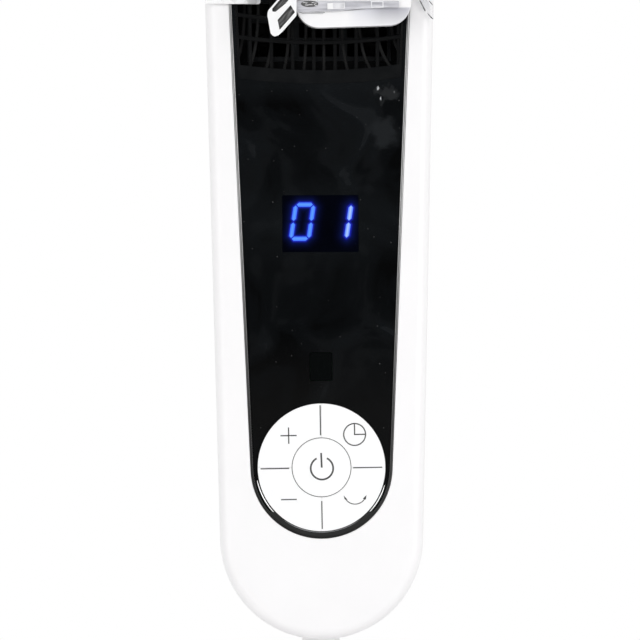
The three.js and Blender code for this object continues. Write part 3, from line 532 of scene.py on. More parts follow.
def capsule_rings(steps):
    return [[(x, y, z) for x, z in capsule(spec, inset)] for spec, inset, y in steps]


def quarter(count):
    return [math.pi / 2 * i / count for i in range(count + 1)]


def round_rect(x0, x1, z0, z1, corner, steps=8):
    points = []
    for cx, cz, start in (
        (x1 - corner, z0 + corner, -90), (x1 - corner, z1 - corner, 0),
        (x0 + corner, z1 - corner, 90), (x0 + corner, z0 + corner, 180),
    ):
        for i in range(steps + 1):
            t = math.radians(start + 90 * i / steps)
            points.append((cx + corner * math.cos(t), cz + corner * math.sin(t)))
    return points


def circle(radius, cx=0.0, cz=0.0, count=96):
    turn = [2 * math.pi * i / count for i in range(count)]
    return [(cx + radius * math.cos(t), cz + radius * math.sin(t)) for t in turn]


def slab(name, outline, y0, y1, material, body, **more):
    """A front-view outline given thickness from y0 to y1."""
    return make(name, *loft([[(x, y, z) for x, z in outline] for y in (y0, y1)]), material, body, **more)


def tool(outline, y0, y1, lift=COLUMN):
    return slab("tool", outline, y0, y1, DARK, None, lift=lift)


def turned(name, profile, material, body, count=128, flip=None, centre=(0, 0), **more):
    """A closed [radius, height] profile turned about the vertical axis."""
    rings = []
    for i in range(count):
        t = 2 * math.pi * i / count
        rings.append([(centre[0] + r * math.cos(t), centre[1] + r * math.sin(t), z) for r, z in profile])
    obj = make(name, *loft(rings, wrap=True), material, body, **more)
    return obj


def curve_through(points, steps=8):
    """A smooth line through the given corners (Catmull-Rom)."""
    line = []
    padded = [points[0], *points, points[-1]]
    for i in range(1, len(padded) - 2):
        a, b, c, d = padded[i - 1 : i + 3]
        for s in range(steps):
            t = s / steps
            line.append(tuple(
                0.5 * (2 * q + (r - p) * t + (2 * p - 5 * q + 4 * r - v) * t**2 + (3 * q - p - 3 * r + v) * t**3)
                for p, q, r, v in zip(a, b, c, d)
            ))
    line.append(tuple(points[-1]))
    return line


def joined(name, parts, body=None, **more):
    """Several meshes made one piece."""
    base = parts[0]
    build = bmesh.new()
    for part in parts:
        build.from_mesh(part.data)
    mesh = bpy.data.meshes.new(name)
    build.to_mesh(mesh)
    build.free()
    mesh.materials.append(base.data.materials[0])
    obj = bpy.data.objects.new(name, mesh)
    bpy.context.scene.collection.objects.link(obj)
    for part in parts:
        old = part.data
        bpy.data.objects.remove(part)
        bpy.data.meshes.remove(old)
    smooth(obj)
    if body:
        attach(obj, body)
        if more.get("stands_for"):
            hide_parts(*more["stands_for"])
    return obj


# -------------------------------------------------------------------------------- the column


def front_shell():
    steps = [(BODY, 0.25, -12.0), (BODY, 0.0, -12.3), (BODY, 0.0, -30.0), (BODY, 0.0, -46.0)]
    steps += [(BODY, 6 * (1 - math.cos(t)), -47 - 7 * math.sin(t)) for t in quarter(10)]
    steps += [(BODY, 6.5, -54.0), (INSET, -1.2, -54.0), (INSET, -0.36, -54.0)]
    steps += [(INSET, -0.36 + 0.3 * math.sin(t), -53.7 - 0.3 * math.cos(t)) for t in quarter(3)[1:]]
    steps += [(INSET, -0.06, -50.5), (INSET, 0.9, -50.5), (INSET, 0.9, -48.5), (INSET, -3.0, -48.5)]
    steps += [(INSET, -3.0, -51.5), (BODY, 7.5, -51.5), (BODY, 4.5, -50.0), (BODY, 2.5, -46.0), (BODY, 2.5, -12.0)]
    make("front_shell_skin", *loft(capsule_rings(steps), wrap=True), SHELL, "column",
         stands_for=["front_shell"], slot="shell_white")


def rear_shell():
    outer = [(BODY, 14.6, 56.0)]
    outer += [(BODY, 14 * (1 - math.cos(t)), 26 + 30 * math.sin(t)) for t in reversed(quarter(16))]
    outer += [(BODY, 0.0, 8.0), (BODY, 0.0, -11.4), (BODY, 0.25, -11.7), (BODY, 2.5, -11.7)]
    inner = [(BODY, 2.5 + 12.5 * (1 - math.cos(t)), 26 + 27.5 * math.sin(t)) for t in quarter(10)]
    shell = make("rear_shell_skin", *loft(capsule_rings(outer + inner)), SHELL, "column",
                 stands_for=["rear_shell"], slot="shell_white")
    cutters = [
        tool(round_rect(-38, 38, 282, 430, 8), 48, 64),
        tool(round_rect(-30, 30, 446, 468, 8), 48, 64),
    ]
    cutters += [tool(circle(4.0, x, z, 40), 40, 70) for x, z in SCREWS]
    carve(shell, *cutters)


SCREWS = [(-20, 480), (20, 480), (-34, 42), (34, 42)]


def screws():
    """Sunk cross-head screws, each at the bottom of its own well."""
    for i, (x, z) in enumerate(SCREWS, 1):
        well = [(4.0, 53.4), (4.0, 46.2), (1.8, 46.2), (1.8, 45.0), (5.2, 45.0), (5.2, 53.4)]
        cross_head(f"screw_head_{i}", (x, 48.8, z), f"shell_screw_{i}", "column", (0, 1, 0), 3.4)
        rings = []
        for j in range(40):
            t = 2 * math.pi * j / 40
            rings.append([(x + r * math.cos(t), y, z + r * math.sin(t)) for r, y in well])
        make(f"screw_well_{i}", *loft(rings, wrap=True), SHELL, "column", slot="shell_white")


def cross_head(name, place, node, body, out, radius, lift=COLUMN):
    """A domed head with a cross recess; its axis points along out."""
    profile = [(0.001, -2.4), (radius, -2.4), (radius, -1.2)]
    profile += [(radius * math.cos(t), -1.2 + 1.2 * math.sin(t)) for t in quarter(5)[1:-1]] + [(0.001, 0.0)]
    rings = []
    for j in range(40):
        t = 2 * math.pi * j / 40
        rings.append([(r * math.cos(t), r * math.sin(t), z) for r, z in profile])
    head = make(name, *loft(rings, wrap=True), STEEL, None, lift=0)
    arms = []
    for a, b in ((radius * 0.55, 0.45), (0.45, radius * 0.55)):
        box = [(-a, -b), (a, -b), (a, b), (-a, b)]
        verts, faces = loft([[(x, y, z) for x, y in box] for z in (-1.1, 1.0)])
        arms.append(make("tool", verts, faces, STEEL, None, lift=0))
    carve(head, *arms)
    turn = Vector((0, 0, 1)).rotation_difference(Vector(out)).to_matrix().to_4x4()
    shift = Matrix.Translation(Vector((place[0], place[1], place[2] + lift)) * MM)
    head.data.transform(shift @ turn)
    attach(head, body)
    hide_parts(node)
    return head


def fascia():
    ring = [(INSET, 0.0, -50.8), (INSET, 0.0, -53.72)]
    ring += [(INSET, 0.75 - 0.75 * math.cos(t), -53.72 - 0.46 * math.sin(t)) for t in half_turn(8)[1:-1]]
    ring += [(INSET, 1.5, -53.72), (INSET, 1.5, -50.8)]
    make("fascia_trim_line", *loft(capsule_rings(ring), wrap=True), TRIM, "column",
         stands_for=["fascia_trim"], slot="trim_metal")
    panel = [(INSET, 1.56, -51.0), (INSET, 1.56, -53.3), (INSET, 1.66, -53.4)]
    face = make("fascia_panel", *loft(capsule_rings(panel)), GLOSS, "column",
                stands_for=["fascia"], slot="fascia_black", sharp=20.0)
    carve(
        face, tool(outlet_outline(3.0, 0.0), -60, -45), tool(circle(33.9, 0, KEYS_Z, 160), -60, -45),
        tool(round_rect(-20.06, 20.06, 204.04, 233.96, 0.8), -60, -45),
        tool(round_rect(-5.98, 5.98, 136.32, 151.28, 0.6), -60, -45),
    )
    smooth(face, 20.0)
    flat_faces(face)
    key_lip()


def glint(name, start, end, radius, widest, y, material):
    """A painted highlight: a thin rounded line on an arc round the key pad, widest in its middle."""
    rings = []
    for i in range(37):
        t = math.radians(start + (end - start) * i / 36)
        half = widest * math.sin(math.pi * i / 36) ** 0.4 + 0.02
        ring = []
        for k in range(8):
            turn = math.pi * 2 * k / 8
            r = radius + half * math.cos(turn)
            ring.append((r * math.cos(t), y + half * math.sin(turn), KEYS_Z + r * math.sin(t)))
        rings.append(ring)
    make(f"key_pad_glint_{name}", *loft(rings), material, "column", slot="trim_metal")


def half_turn(count):
    return [math.pi * i / count for i in range(count + 1)]


def key_lip():
    """The satin crescent under the key pad, and thin lines beside it that are painted highlights."""
    top = KEYS_Z - 23.2
    low_r, low_z = INSET[0] - 1.4, INSET[1]
    reach = math.asin((low_z - top) / low_r)
    inner = math.asin((KEYS_Z - top) / 34.0)
    outer_arc = [math.pi + reach + (math.pi - 2 * reach) * i / 40 for i in range(41)]
    inner_arc = [math.pi + inner + (math.pi - 2 * inner) * i / 40 for i in range(41)]
    outline = [(low_r * math.cos(t), low_z + low_r * math.sin(t)) for t in outer_arc]
    outline += [(34.0 * math.cos(t), KEYS_Z + 34.0 * math.sin(t)) for t in reversed(inner_arc)]
    crescent = slab("key_pad_crescent", outline, -53.9, -53.35, CRESCENT, "column", slot="fascia_black")
    bevelled(crescent, 0.2, 2, 50.0)
    # Painted highlights: bright lines at the left and right, and a grey line below.
    glint("left", 191, 229, 34.5, 0.3, -53.62, HIGHLIGHT_METAL)
    glint("right", 311, 344, 34.5, 0.3, -53.62, HIGHLIGHT_METAL)
    glint("low", 234, 306, 34.1, 0.16, -53.92, LEDGE_AND_PAINTED_LINES)


def sag(x):
    return x * x / (2 * ARC_R)


def inset_half_width(z, inset):
    """How far the inset's outline reaches sideways at a height."""
    low_r, low_z, high_r, high_z = INSET
    lean = math.asin((high_r - low_r) / (high_z - low_z))
    if z > high_z + (high_r - inset) * math.sin(lean) * -1:
        rise = max(-1.0, min(1.0, (z - high_z) / (high_r - inset)))
        if z > high_z:
            return (high_r - inset) * math.cos(math.asin(rise))
    share = (z - low_z) / (high_z - low_z)
    return (low_r + (high_r - low_r) * share - inset) / math.cos(lean)


def outlet_outline(inset, raise_by, steps=24, arc=60):
    """The outlet: the inset's outline, closed below by a hanging arc."""
    base = OUTLET_Z + raise_by
    half = inset_half_width(base + 5, inset)
    half = inset_half_width(base + sag(half), inset)
    low = [(-half + 2 * half * i / steps) for i in range(steps + 1)]
    points = [(x, base + sag(x)) for x in low]
    z0 = points[-1][1]
    points += [(inset_half_width(z, inset), z) for z in [z0 + (436 - z0) * i / 12 for i in range(1, 12)]]
    radius = INSET[2] - inset
    points += [(radius * math.cos(math.pi * i / arc), 436 + radius * math.sin(math.pi * i / arc)) for i in range(arc + 1)]
    points += [(-inset_half_width(z, inset), z) for z in [436 + (z0 - 436) * i / 12 for i in range(1, 12)]]
    return points


def bar(points, width, depth, y, round_by=0.35):
    """Points and faces of a bar of rounded section along a front-view line, tangent to it."""
    rings = []
    for i, (x, z) in enumerate(points):
        before, after = points[max(0, i - 1)], points[min(len(points) - 1, i + 1)]
        tx, tz = after[0] - before[0], after[1] - before[1]
        size = math.hypot(tx, tz)
        nx, nz = -tz / size, tx / size
        a, b, c = width / 2, depth / 2, round_by
        section = [(-a, -b + c), (-a + c, -b), (a - c, -b), (a, -b + c), (a, b - c), (a - c, b), (-a + c, b), (-a, b - c)]
        rings.append([(x + nx * u, y + v, z + nz * u) for u, v in section])
    return loft(rings)


def outlet_grille():
    outer = outlet_outline(3.03, 0.03)
    inner = outlet_outline(4.4, 7.2)
    rings = [[(x, y, z) for x, z in line] for line, y in ((outer, -50.4), (outer, -53.0), (inner, -53.2), (inner, -51.2))]
    scaled = [(x * 0.998, z) for x, z in inner]
    rings.append([(x, -50.4, z) for x, z in scaled])
    make("outlet_rim", *loft(rings, wrap=True), RIM, "column", slot="grille_black", sharp=25.0)
    parts = []
    for i in range(15):
        z = 314.3 + 11.7 * i
        half = inset_half_width(z + 4, 4.0)
        if z > 436:
            half = math.sqrt(max(1.0, 48.0**2 - (z + 1 - 436) ** 2))
        xs = [-half + 2 * half * k / 20 for k in range(21)]
        parts.append(make("ring", *bar([(x, z + sag(x)) for x in xs], 2.1, 2.0, -52.2), SATIN, None))
    for i in range(8):
        x = -36.5 + 11.15 * i
        top = 436 + math.sqrt(48.0**2 - x * x)
        line = [(x, OUTLET_Z + 6 + (top - OUTLET_Z - 6) * k / 6) for k in range(7)]
        parts.append(make("post", *bar(line, 1.9, 2.2, -51.5), SATIN, None))
    joined("outlet_bars", parts, "column", stands_for=["outlet_grille"], slot="grille_black")


def inner_guard():
    outer, inner = outlet_outline(1.3, -2.0), outlet_outline(4.0, 5.5)
    rings = [[(x, y, z) for x, z in line] for line, y in ((outer, -45.0), (outer, -47.5), (inner, -47.5), (inner, -45.0))]
    parts = [make("rim", *loft(rings, wrap=True), GUARD, None)]
    low, high = OUTLET_Z + 2, OUTLET_Z + 192
    for i in range(-5, 5):
        x = 61 * math.sin(0.15 * i)
        line = []
        for step in range(61):
            along = -1 + step / 30
            splay = 1 + (0.6 if i > 0 else 0.26) * along**8
            z = low + (along + 1) / 2 * (high - low)
            px = 2.3 + x * splay
            limit = inset_half_width(z, 2.5) if z < 436 else math.sqrt(max(1.0, 49.5**2 - (z - 436) ** 2))
            if abs(px) < limit:
                line.append((px, z))
        parts.append(make("rib", *bar(line, 1.7, 2.2, -46.3), GUARD, None))
    joined("outlet_guard_ribs", parts, "column", stands_for=["inner_guard"], slot="grille_black")


# -------------------------------------------------------------------------------- key pad


def ring_quarter(index, gap=0.06, outer=33.55, inner=15.72, count=40):
    start = index * math.pi / 2
    lean_out, lean_in = math.asin(gap / 2 / outer), math.asin(gap / 2 / inner)
    a = [start + lean_out + (math.pi / 2 - 2 * lean_out) * i / count for i in range(count + 1)]
    b = [start + lean_in + (math.pi / 2 - 2 * lean_in) * i / count for i in range(count + 1)]
    far = [(outer * math.cos(t), KEYS_Z + outer * math.sin(t)) for t in a]
    near = [(inner * math.cos(t), KEYS_Z + inner * math.sin(t)) for t in reversed(b)]
    return far + near


def stroke(name, points, width, body, closed=False, y=-54.62, material=INK):
    """A thin ribbon just proud of the surface: printed lines on the keys, and painted highlights and ledge lines on the
    cup's strip.
    """
    left, right = [], []
    count = len(points)
    for i, (x, z) in enumerate(points):
        a = points[(i - 1) % count] if closed or i else points[i]
        b = points[(i + 1) % count] if closed or i < count - 1 else points[i]
        size = math.hypot(b[0] - a[0], b[1] - a[1])
        nx, nz = -(b[1] - a[1]) / size * width / 2, (b[0] - a[0]) / size * width / 2
        left.append((x + nx, z + nz))
        right.append((x - nx, z - nz))
    if not closed:
        return slab(name, left + right[::-1], y, y + 0.05, material, None)
    rings = [[(x, yy, z) for x, z in line] for line, yy in ((left, y + 0.05), (left, y), (right, y), (right, y + 0.05))]
    return make(name, *loft(rings, wrap=True), material, None)


def arc_points(cx, cz, radius, start, end, count=40):
    turn = [math.radians(start + (end - start) * i / count) for i in range(count + 1)]
    return [(cx + radius * math.cos(t), cz + radius * math.sin(t)) for t in turn]


def keys():
    names = ["timer", "plus", "minus", "swing"]
    for i, name in enumerate(names):
        key = slab(f"{name}_key_cap", ring_quarter(i), -54.6, -49.9, KEY, f"key_{name}",
                   stands_for=[f"{name}_key"], slot="key_white")
        bevelled(key, 0.1 if i in (0, 1) else 0.1, 2, 50.0)
    power = [(x, z + KEYS_Z) for x, z in circle(15.35, 0, 0, 128)]
    rings = [[(x, y, z) for x, z in power] for y in (-49.9, -54.3)]
    for t in quarter(4)[1:]:
        s = (15.35 - 0.3 * (1 - math.cos(t))) / 15.35
        rings.append([(x * s, -54.3 - 0.3 * math.sin(t), KEYS_Z + (z - KEYS_Z) * s) for x, z in power])
    make("power_key_cap", *loft(rings), KEY, "key_power", stands_for=["power_key"], slot="key_white")
    z = KEYS_Z
    prints = {
        "plus": [
            stroke("a", [(-21.5, z + 17.3), (-13.0, z + 17.3)], 0.64, None),
            stroke("a", [(-17.2, z + 13.0), (-17.2, z + 21.6)], 0.64, None),
            stroke("a", [(-32.3, z + 0.1), (-17.2, z + 0.1)], 0.64, None),
            stroke("a", [(-0.4, z + 17.2), (-0.4, z + 32.9)], 0.64, None),
        ],
        "timer": [
            stroke("a", arc_points(17.5, z + 17.3, 5.75, 0, 351, 48), 0.64, None, closed=True),
            stroke("a", [(17.5, z + 22.9), (17.5, z + 17.0)], 0.64, None),
            stroke("a", [(17.2, z + 17.3), (23.1, z + 17.3)], 0.64, None),
        ],
        "minus": [
            stroke("a", [(-21.8, z - 16.3), (-13.5, z - 16.3)], 0.62, None),
            stroke("a", [(-0.4, z - 17.4), (-0.4, z - 32.1)], 0.62, None),
        ],
        "swing": [
            stroke("a", arc_points(17.2, z - 13.4, 5.95, 208, 332, 30), 0.5, None),
            stroke("a", [(16.4, z - 0.2), (31.7, z - 0.2)], 0.62, None),
        ],
        "power": [
            stroke("a", arc_points(0, z - 0.2, 5.9, 117, 423, 60), 0.92, None),
            stroke("a", [(-0.3, z + 7.9), (-0.1, z + 0.2)], 0.92, None),
        ],
    }
    for side in (-1, 1):
        tip, root = (17.2 + side * 6.0, z - 14.6), (17.2 + side * 4.8, z - 17.4)
        wing = 0.8
        head = [tip, (root[0] - wing, root[1] + 0.8), (root[0] + 0.2 * side, root[1] + 0.6), (root[0] + wing, root[1] + 0.3)]
        prints["swing"].append(slab("a", head, -54.62, -54.57, INK, None))
    turn = Matrix.Rotation(math.radians(-0.75), 4, "Y")
    pivot = Matrix.Translation((0, 0, (z + COLUMN) * MM))
    shift = Matrix.Translation((0.0002, 0, -0.0003))
    for name, parts in prints.items():
        ink = joined(f"{name}_print", parts, None)
        ink.data.transform(shift @ pivot @ turn @ pivot.inverted())
        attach(ink, f"key_{name}")


# ------------------------------------------------------------------------------- read-out

SLANT = 0.15
DIGIT = {"height": 17.9, "width": 9.35, "z": 220.05}


def segments(lit, left_x, t=2.3):
    """The lit bars of one seven-segment digit, t thick, as closed outlines."""
    h, w, cz = DIGIT["height"] / 2, DIGIT["width"], DIGIT["z"]
    g = 0.35
    ends = {
        "a": ((0, h), (w, h)), "b": ((w, h), (w, 0)), "c": ((w, 0), (w, -h)), "d": ((0, -h), (w, -h)),
        "e": ((0, 0), (0, -h)), "f": ((0, h), (0, 0)), "g": ((0, 0), (w, 0)),
    }
    shapes = []
    for key in lit:
        (x0, z0), (x1, z1) = ends[key]
        size = math.hypot(x1 - x0, z1 - z0)
        ux, uz = (x1 - x0) / size, (z1 - z0) / size
        nx, nz = -uz, ux
        local = [(g, 0), (g + t / 2, t / 2), (size - g - t / 2, t / 2), (size - g, 0), (size - g - t / 2, -t / 2), (g + t / 2, -t / 2)]
        line = [(x0 + ux * a + nx * b, z0 + uz * a + nz * b) for a, b in local]
        shapes.append([(left_x + x + z * SLANT, cz + z) for x, z in line])
    return shapes


def inward(shape, share):
    cx = sum(x for x, _ in shape) / len(shape)
    cz = sum(z for _, z in shape) / len(shape)
    return [(cx + (x - cx) * share, cz + (z - cz) * share) for x, z in shape]


def read_out():
    zero, one = segments("abcdef", -14.2), segments("bc", 5.6, 2.5)
    lit_digit("lit_zero", zero, LED)
    lit_digit("lit_one", one, LED_BRIGHT)
    display_lens([(zero, 1.4), (one, 1.75)])


def lit_digit(name, shapes, material):
    verts, faces = [], []
    for shape in shapes:
        base = len(verts)
        middle_a = ((shape[0][0] + shape[1][0] + shape[5][0]) / 3, (shape[0][1] + shape[1][1] + shape[5][1]) / 3)
        middle_b = ((shape[2][0] + shape[3][0] + shape[4][0]) / 3, (shape[2][1] + shape[3][1] + shape[4][1]) / 3)
        verts += [(x, -53.46, z) for x, z in shape] + [(x, -53.36, z) for x, z in shape]
        verts += [(middle_a[0], -53.47, middle_a[1]), (middle_b[0], -53.47, middle_b[1])]
        a, b = base + 12, base + 13
        faces += [(base, base + 1, a), (base + 1, base + 2, b, a), (base + 2, base + 3, b), (base + 3, base + 4, b),
                  (base + 4, base + 5, a, b), (base + 5, base, a)]
        faces += [(base + i, base + 6 + i, base + 6 + (i + 1) % 6, base + (i + 1) % 6) for i in range(6)]
        faces.append(tuple(base + 6 + i for i in range(6)))
    digit = make(name, verts, faces, material, "column", slot="smoked_lens")
    values = digit.data.attributes.new("core", "FLOAT", "POINT")
    for point, vert in zip(values.data, digit.data.vertices):
        point.value = 1.0 if vert.co.y < -53.465 * MM else 0.0



def distance_to(shape, x, z):
    best = 1e9
    for i, (ax, az) in enumerate(shape):
        bx, bz = shape[(i + 1) % len(shape)]
        t = ((x - ax) * (bx - ax) + (z - az) * (bz - az)) / ((bx - ax) ** 2 + (bz - az) ** 2)
        t = max(0.0, min(1.0, t))
        best = min(best, math.hypot(x - ax - t * (bx - ax), z - az - t * (bz - az)))
    return best


def display_lens(glows):
    """The smoked window, with a fine grid on its face that carries the glow round the digits."""
    x0, x1, z0, z1, cell = -20.0, 20.0, 204.1, 233.9, 0.5
    nx, nz = int((x1 - x0) / cell), int((z1 - z0) / cell)
    verts, faces = [], []
    for j in range(nz + 1):
        for i in range(nx + 1):
            verts.append((x0 + (x1 - x0) * i / nx, -53.4, z0 + (z1 - z0) * j / nz))
    for j in range(nz):
        for i in range(nx):
            a = j * (nx + 1) + i
            faces.append((a, a + 1, a + nx + 2, a + nx + 1))
    rim = [i for i in range(nx + 1)] + [j * (nx + 1) + nx for j in range(1, nz + 1)]
    rim += [nz * (nx + 1) + i for i in range(nx - 1, -1, -1)] + [j * (nx + 1) for j in range(nz - 1, 0, -1)]
    back = len(verts)
    verts += [(verts[i][0], -51.0, verts[i][2]) for i in rim]
    for k in range(len(rim)):
        n = (k + 1) % len(rim)
        faces.append((rim[k], rim[n], back + n, back + k))
    faces.append(tuple(back + k for k in range(len(rim))))
    lens = make("display_window", verts, faces, LENS, "column", stands_for=["display_lens"], slot="smoked_lens")
    halo = lens.data.attributes.new("halo", "FLOAT", "POINT")
    for point, vert in zip(halo.data, lens.data.vertices):
        x, z = vert.co.x / MM, vert.co.z / MM - COLUMN
        value = 0.0
        for shapes, spread in glows:
            near = min(distance_to(shape, x, z) for shape in shapes)
            value += math.exp(-((near / spread) ** 1.2)) + 0.07 * math.exp(-((near / 3.0) ** 2))
        point.value = min(1.0, value) if vert.co.y < -53 * MM else 0.0


# ---------------------------------------------------------------------------- base and neck


def base():
    dome = curve_through([(95, 8), (94.9, 11), (93, 17), (87, 23.5), (77, 28.5), (66, 32), (50, 34.5), (31.5, 35.1)], 8)
    profile = [(92.6, 4.2), (94.2, 4.0), (94.85, 4.6)] + dome + [(30.1, 34.9), (29.5, 34.2), (29.5, 31.6), (64, 29.4), (85, 21.4), (92.4, 11)]
    shell = turned("base_cover_skin", profile, SHELL, "base", 160, lift=0, stands_for=["base_cover"], slot="shell_white")
    hole = tool(circle(5.3, 0, 14, 48), 80, 110, lift=0)
    carve(shell, hole)
    for i, angle in enumerate((45, 135, 225, 315), 1):
        x, y = 74 * math.cos(math.radians(angle)), 74 * math.sin(math.radians(angle))
        foot = [(0.01, 0.0), (7.6, 0.0), (8.5, 0.25), (9.0, 0.9), (9.0, 3.7), (0.01, 3.7)]
        turned(f"rubber_pad_{i}", foot, RUBBER, "base", 48, centre=(x, y), lift=0,
               stands_for=[f"rubber_foot_{i}"], slot="rubber")
    for i, angle in enumerate((30, 150, 270), 1):
        x, y = 80 * math.cos(math.radians(angle)), 80 * math.sin(math.radians(angle))
        cross_head(f"base_screw_head_{i}", (x, y, 1.4), f"base_screw_{i}", "base", (0, 0, -1), 3.6, lift=0)
    neck()


def neck():
    outside = [(24, 28.5, 42), (19, 28.5, 46.5), (14, 28.5, 51), (11, 28.5, 54), (9.6, 28.5, 57), (9.3, 28.5, 60), (9.3, 28.5, 66)]
    line = curve_through([(28.4, 28.4, 37), *outside], 5)
    profile = [(11.2, 11.2, 18.6), (39.8, 39.8, 18.6), (39.8, 39.8, 21.9), (28.4, 28.4, 21.9), (28.4, 28.4, 33)]
    profile += line + [(17, 32.9, 66.6), (17, 32.9, 69.9), (6, 6, 69.9), (6, 6, 45), (11.2, 11.2, 41)]
    rings = []
    count = 96
    for i in range(count):
        t = 2 * math.pi * i / count
        rings.append([(rx * math.cos(t), ry * math.sin(t), z) for rx, ry, z in profile])
    make("neck_skin", *loft(rings, wrap=True), SHELL, "column", stands_for=["swivel_neck"], slot="shell_white", lift=0)


# ------------------------------------------------------------------------------------ back


def back():
    half = 37.7
    cover = slab("filter_cover_panel", round_rect(-half, half, 282.3, 429.7, 7.7), 53.2, 56.4, SHELL, "filter",
                 stands_for=["filter_cover"], slot="shell_white")
    slots = [tool(round_rect(-32, 32, 291 + 8 * i, 295 + 8 * i, 1.9, 5), 40, 70) for i in range(17)]
    carve(cover, *slots)
    bevelled(cover, 0.5, 2, 50.0)
    rings = []
    for y, grow in ((56.2, 0.0), (58.0, -0.3), (58.4, -0.9)):
        rings.append([(x, y, z) for x, z in round_rect(-9 - grow, 9 + grow, 424 - grow, 427 + grow, 1.0 if grow > -0.5 else 0.6, 5)])
    make("filter_tab", *loft(rings), SHELL, "filter", slot="shell_white")

    wires = [slab("w", round_rect(-35, 35, 286, 426, 1.5, 3), 50.8, 52.8, MESH, None)]
    carve(wires[0], tool(round_rect(-33, 33, 288, 424, 1, 3), 51.2, 70))
    for i in range(30):
        x = -31.9 + 2.2 * i
        wires.append(slab("w", [(x - 0.16, 287.5), (x + 0.16, 287.5), (x + 0.16, 424.5), (x - 0.16, 424.5)], 51.7, 52.0, MESH, None))
    for i in range(61):
        z = 290 + 2.2 * i
        wires.append(slab("w", [(-33.5, z - 0.16), (33.5, z - 0.16), (33.5, z + 0.16), (-33.5, z + 0.16)], 51.45, 51.75, MESH, None))
    joined("dust_mesh", wires, "filter", stands_for=["dust_filter"], slot="dark_plastic")

    steps = [(1.9, 56.3), (2.4, 56.5), (2.5, 56.9), (2.2, 57.4), (1.2, 57.5), (-1.2, 57.5), (-1.9, 57.1), (-2.2, 56.0),
             (-2.3, 45.0), (-2.5, 34.5), (-3.2, 32.8), (-4.5, 32.1)]
    rings = [[(x, y, z) for x, z in round_rect(-29.7 - g, 29.7 + g, 446.3 - g * 0.88, 467.7 + g * 0.88, 7.7 + g * 0.8, 8)] for g, y in steps]
    outside = [(-4.5, 30.0), (-0.2, 30.0), (0.0, 32.0), (0.0, 56.3)]
    rings += [[(x, y, z) for x, z in round_rect(-29.7 - g, 29.7 + g, 446.3 - g, 467.7 + g, 7.7 + min(g, 0) * 0.8, 8)] for g, y in outside]
    make("handle_tub", *loft(rings, wrap=False), DARK, "column", stands_for=["handle_recess"], slot="dark_plastic")


# --------------------------------------------------------------------------- clip-on cup

TILT = math.radians(1.6)


def cup_place(x, z):
    """From the cup's own frame to the column's."""
    return 17.7 + x * math.cos(TILT) - z * math.sin(TILT), 336 + x * math.sin(TILT) + z * math.cos(TILT)


def cup_outline(inset, top, corner=12.0, steps=14):
    half, floor, r = 30.1 - inset, -14.2 + inset, corner - inset
    points = [(-half + r + r * math.cos(t), floor + r + r * math.sin(t)) for t in [math.pi + math.pi / 2 * i / steps for i in range(steps + 1)]]
    points += [(half - r + r * math.cos(t), floor + r + r * math.sin(t)) for t in [1.5 * math.pi + math.pi / 2 * i / steps for i in range(steps + 1)]]
    return [cup_place(x, z) for x, z in points + [(half, top), (-half, top)]]


def cup():
    rings = []
    for inset, y in [(0.6, -57.0), (0.15, -57.2), (0.0, -57.7)]:
        rings.append([(x, y, z) for x, z in cup_outline(inset, 14.6)])
    for t in quarter(5):
        inset = 0.5 * (1 - math.cos(t))
        rings.append([(x, -70.5 - 0.5 * math.sin(t), z) for x, z in cup_outline(inset, 14.6)])
    body = make("cup_body_shell", *loft(rings), FACE, "cup", stands_for=["cup_body"], slot="cup_white")
    carve(body, tool(cup_outline(1.8, 24.0), -69.2, -58.8))
    flat_faces(body)
    pegs = []
    for x, z in ((-15, 6.6), (19, 8.4)):
        px, pz = cup_place(x, z)
        pegs.append(slab("peg", circle(1.6, px, pz, 32), -57.2, -53.6, CUP, None))
    joined("cup_pegs", pegs, "cup", slot="cup_white")

    def block(name, x0, x1, y0, y1, z0, z1, material, body_name, bevel=0.25, **more):
        corners = [cup_place(x, z) for x, z in ((x0, z0), (x1, z0), (x1, z1), (x0, z1))]
        return bevelled(slab(name, corners, y0, y1, material, body_name, **more), bevel, 2, 40.0)

    strip = [cup_place(x, z) for x, z in ((-30, -5.8), (-7.5, -5.8), (4, -5.0), (23.6, -4.9), (23.6, -1.7), (-30, 0.1))]
    bevelled(slab("sight_strip", strip, -73, -71.3, STRIP, "cup", stands_for=["cup_sight_strip"], slot="clear_plastic"),
             0.2, 2, 40.0)
    plate = block("strip_block", -14, -4.7, -73.6, -73.0, -4.9, -1.5, PALE, "cup", 0.15, slot="cup_white")
    block("strip_block_end", -13.9, -11, -73.75, -73.5, -4.8, -1.6, CUP, "cup", 0.1, slot="cup_white")
    frame_piece = block("strip_frame", 8.9, 15.5, -73.3, -73.0, -4.8, -1.2, PALE, "cup", 0.05, slot="clear_plastic")
    for piece, x0, x1, z0, z1, floor in ((plate, -10.6, -5.3, -4.4, -2.1, -73.3), (frame_piece, 9.5, 14.9, -4.2, -1.8, -60)):
        window = [cup_place(x, z) for x, z in ((x0, z0), (x1, z0), (x1, z1), (x0, z1))]
        carve(piece, tool(window, -80, floor))
    strip_details()
    lid = slab("cup_lid_clear", [cup_place(x, z) for x, z in ((-30.1, 14.9), (30.1, 14.9), (30.1, 17.2), (-30.1, 17.2))],
               -71.6, -56.6, CLEAR, "lid", stands_for=["cup_lid"], slot="clear_plastic")
    vents = [tool([cup_place(x, z) for x, z in ((c - 3.5, 10), (c + 3.5, 10), (c + 3.5, 40), (c - 3.5, 40))], -68, -60) for c in (-18, -6, 6, 18)]
    carve(lid, *vents)
    bevelled(lid, 0.4, 2, 40.0)
    block("lid_tab", -6, 6, -74, -71.3, 14.9, 16.4, CLEAR, "lid", slot="clear_plastic")


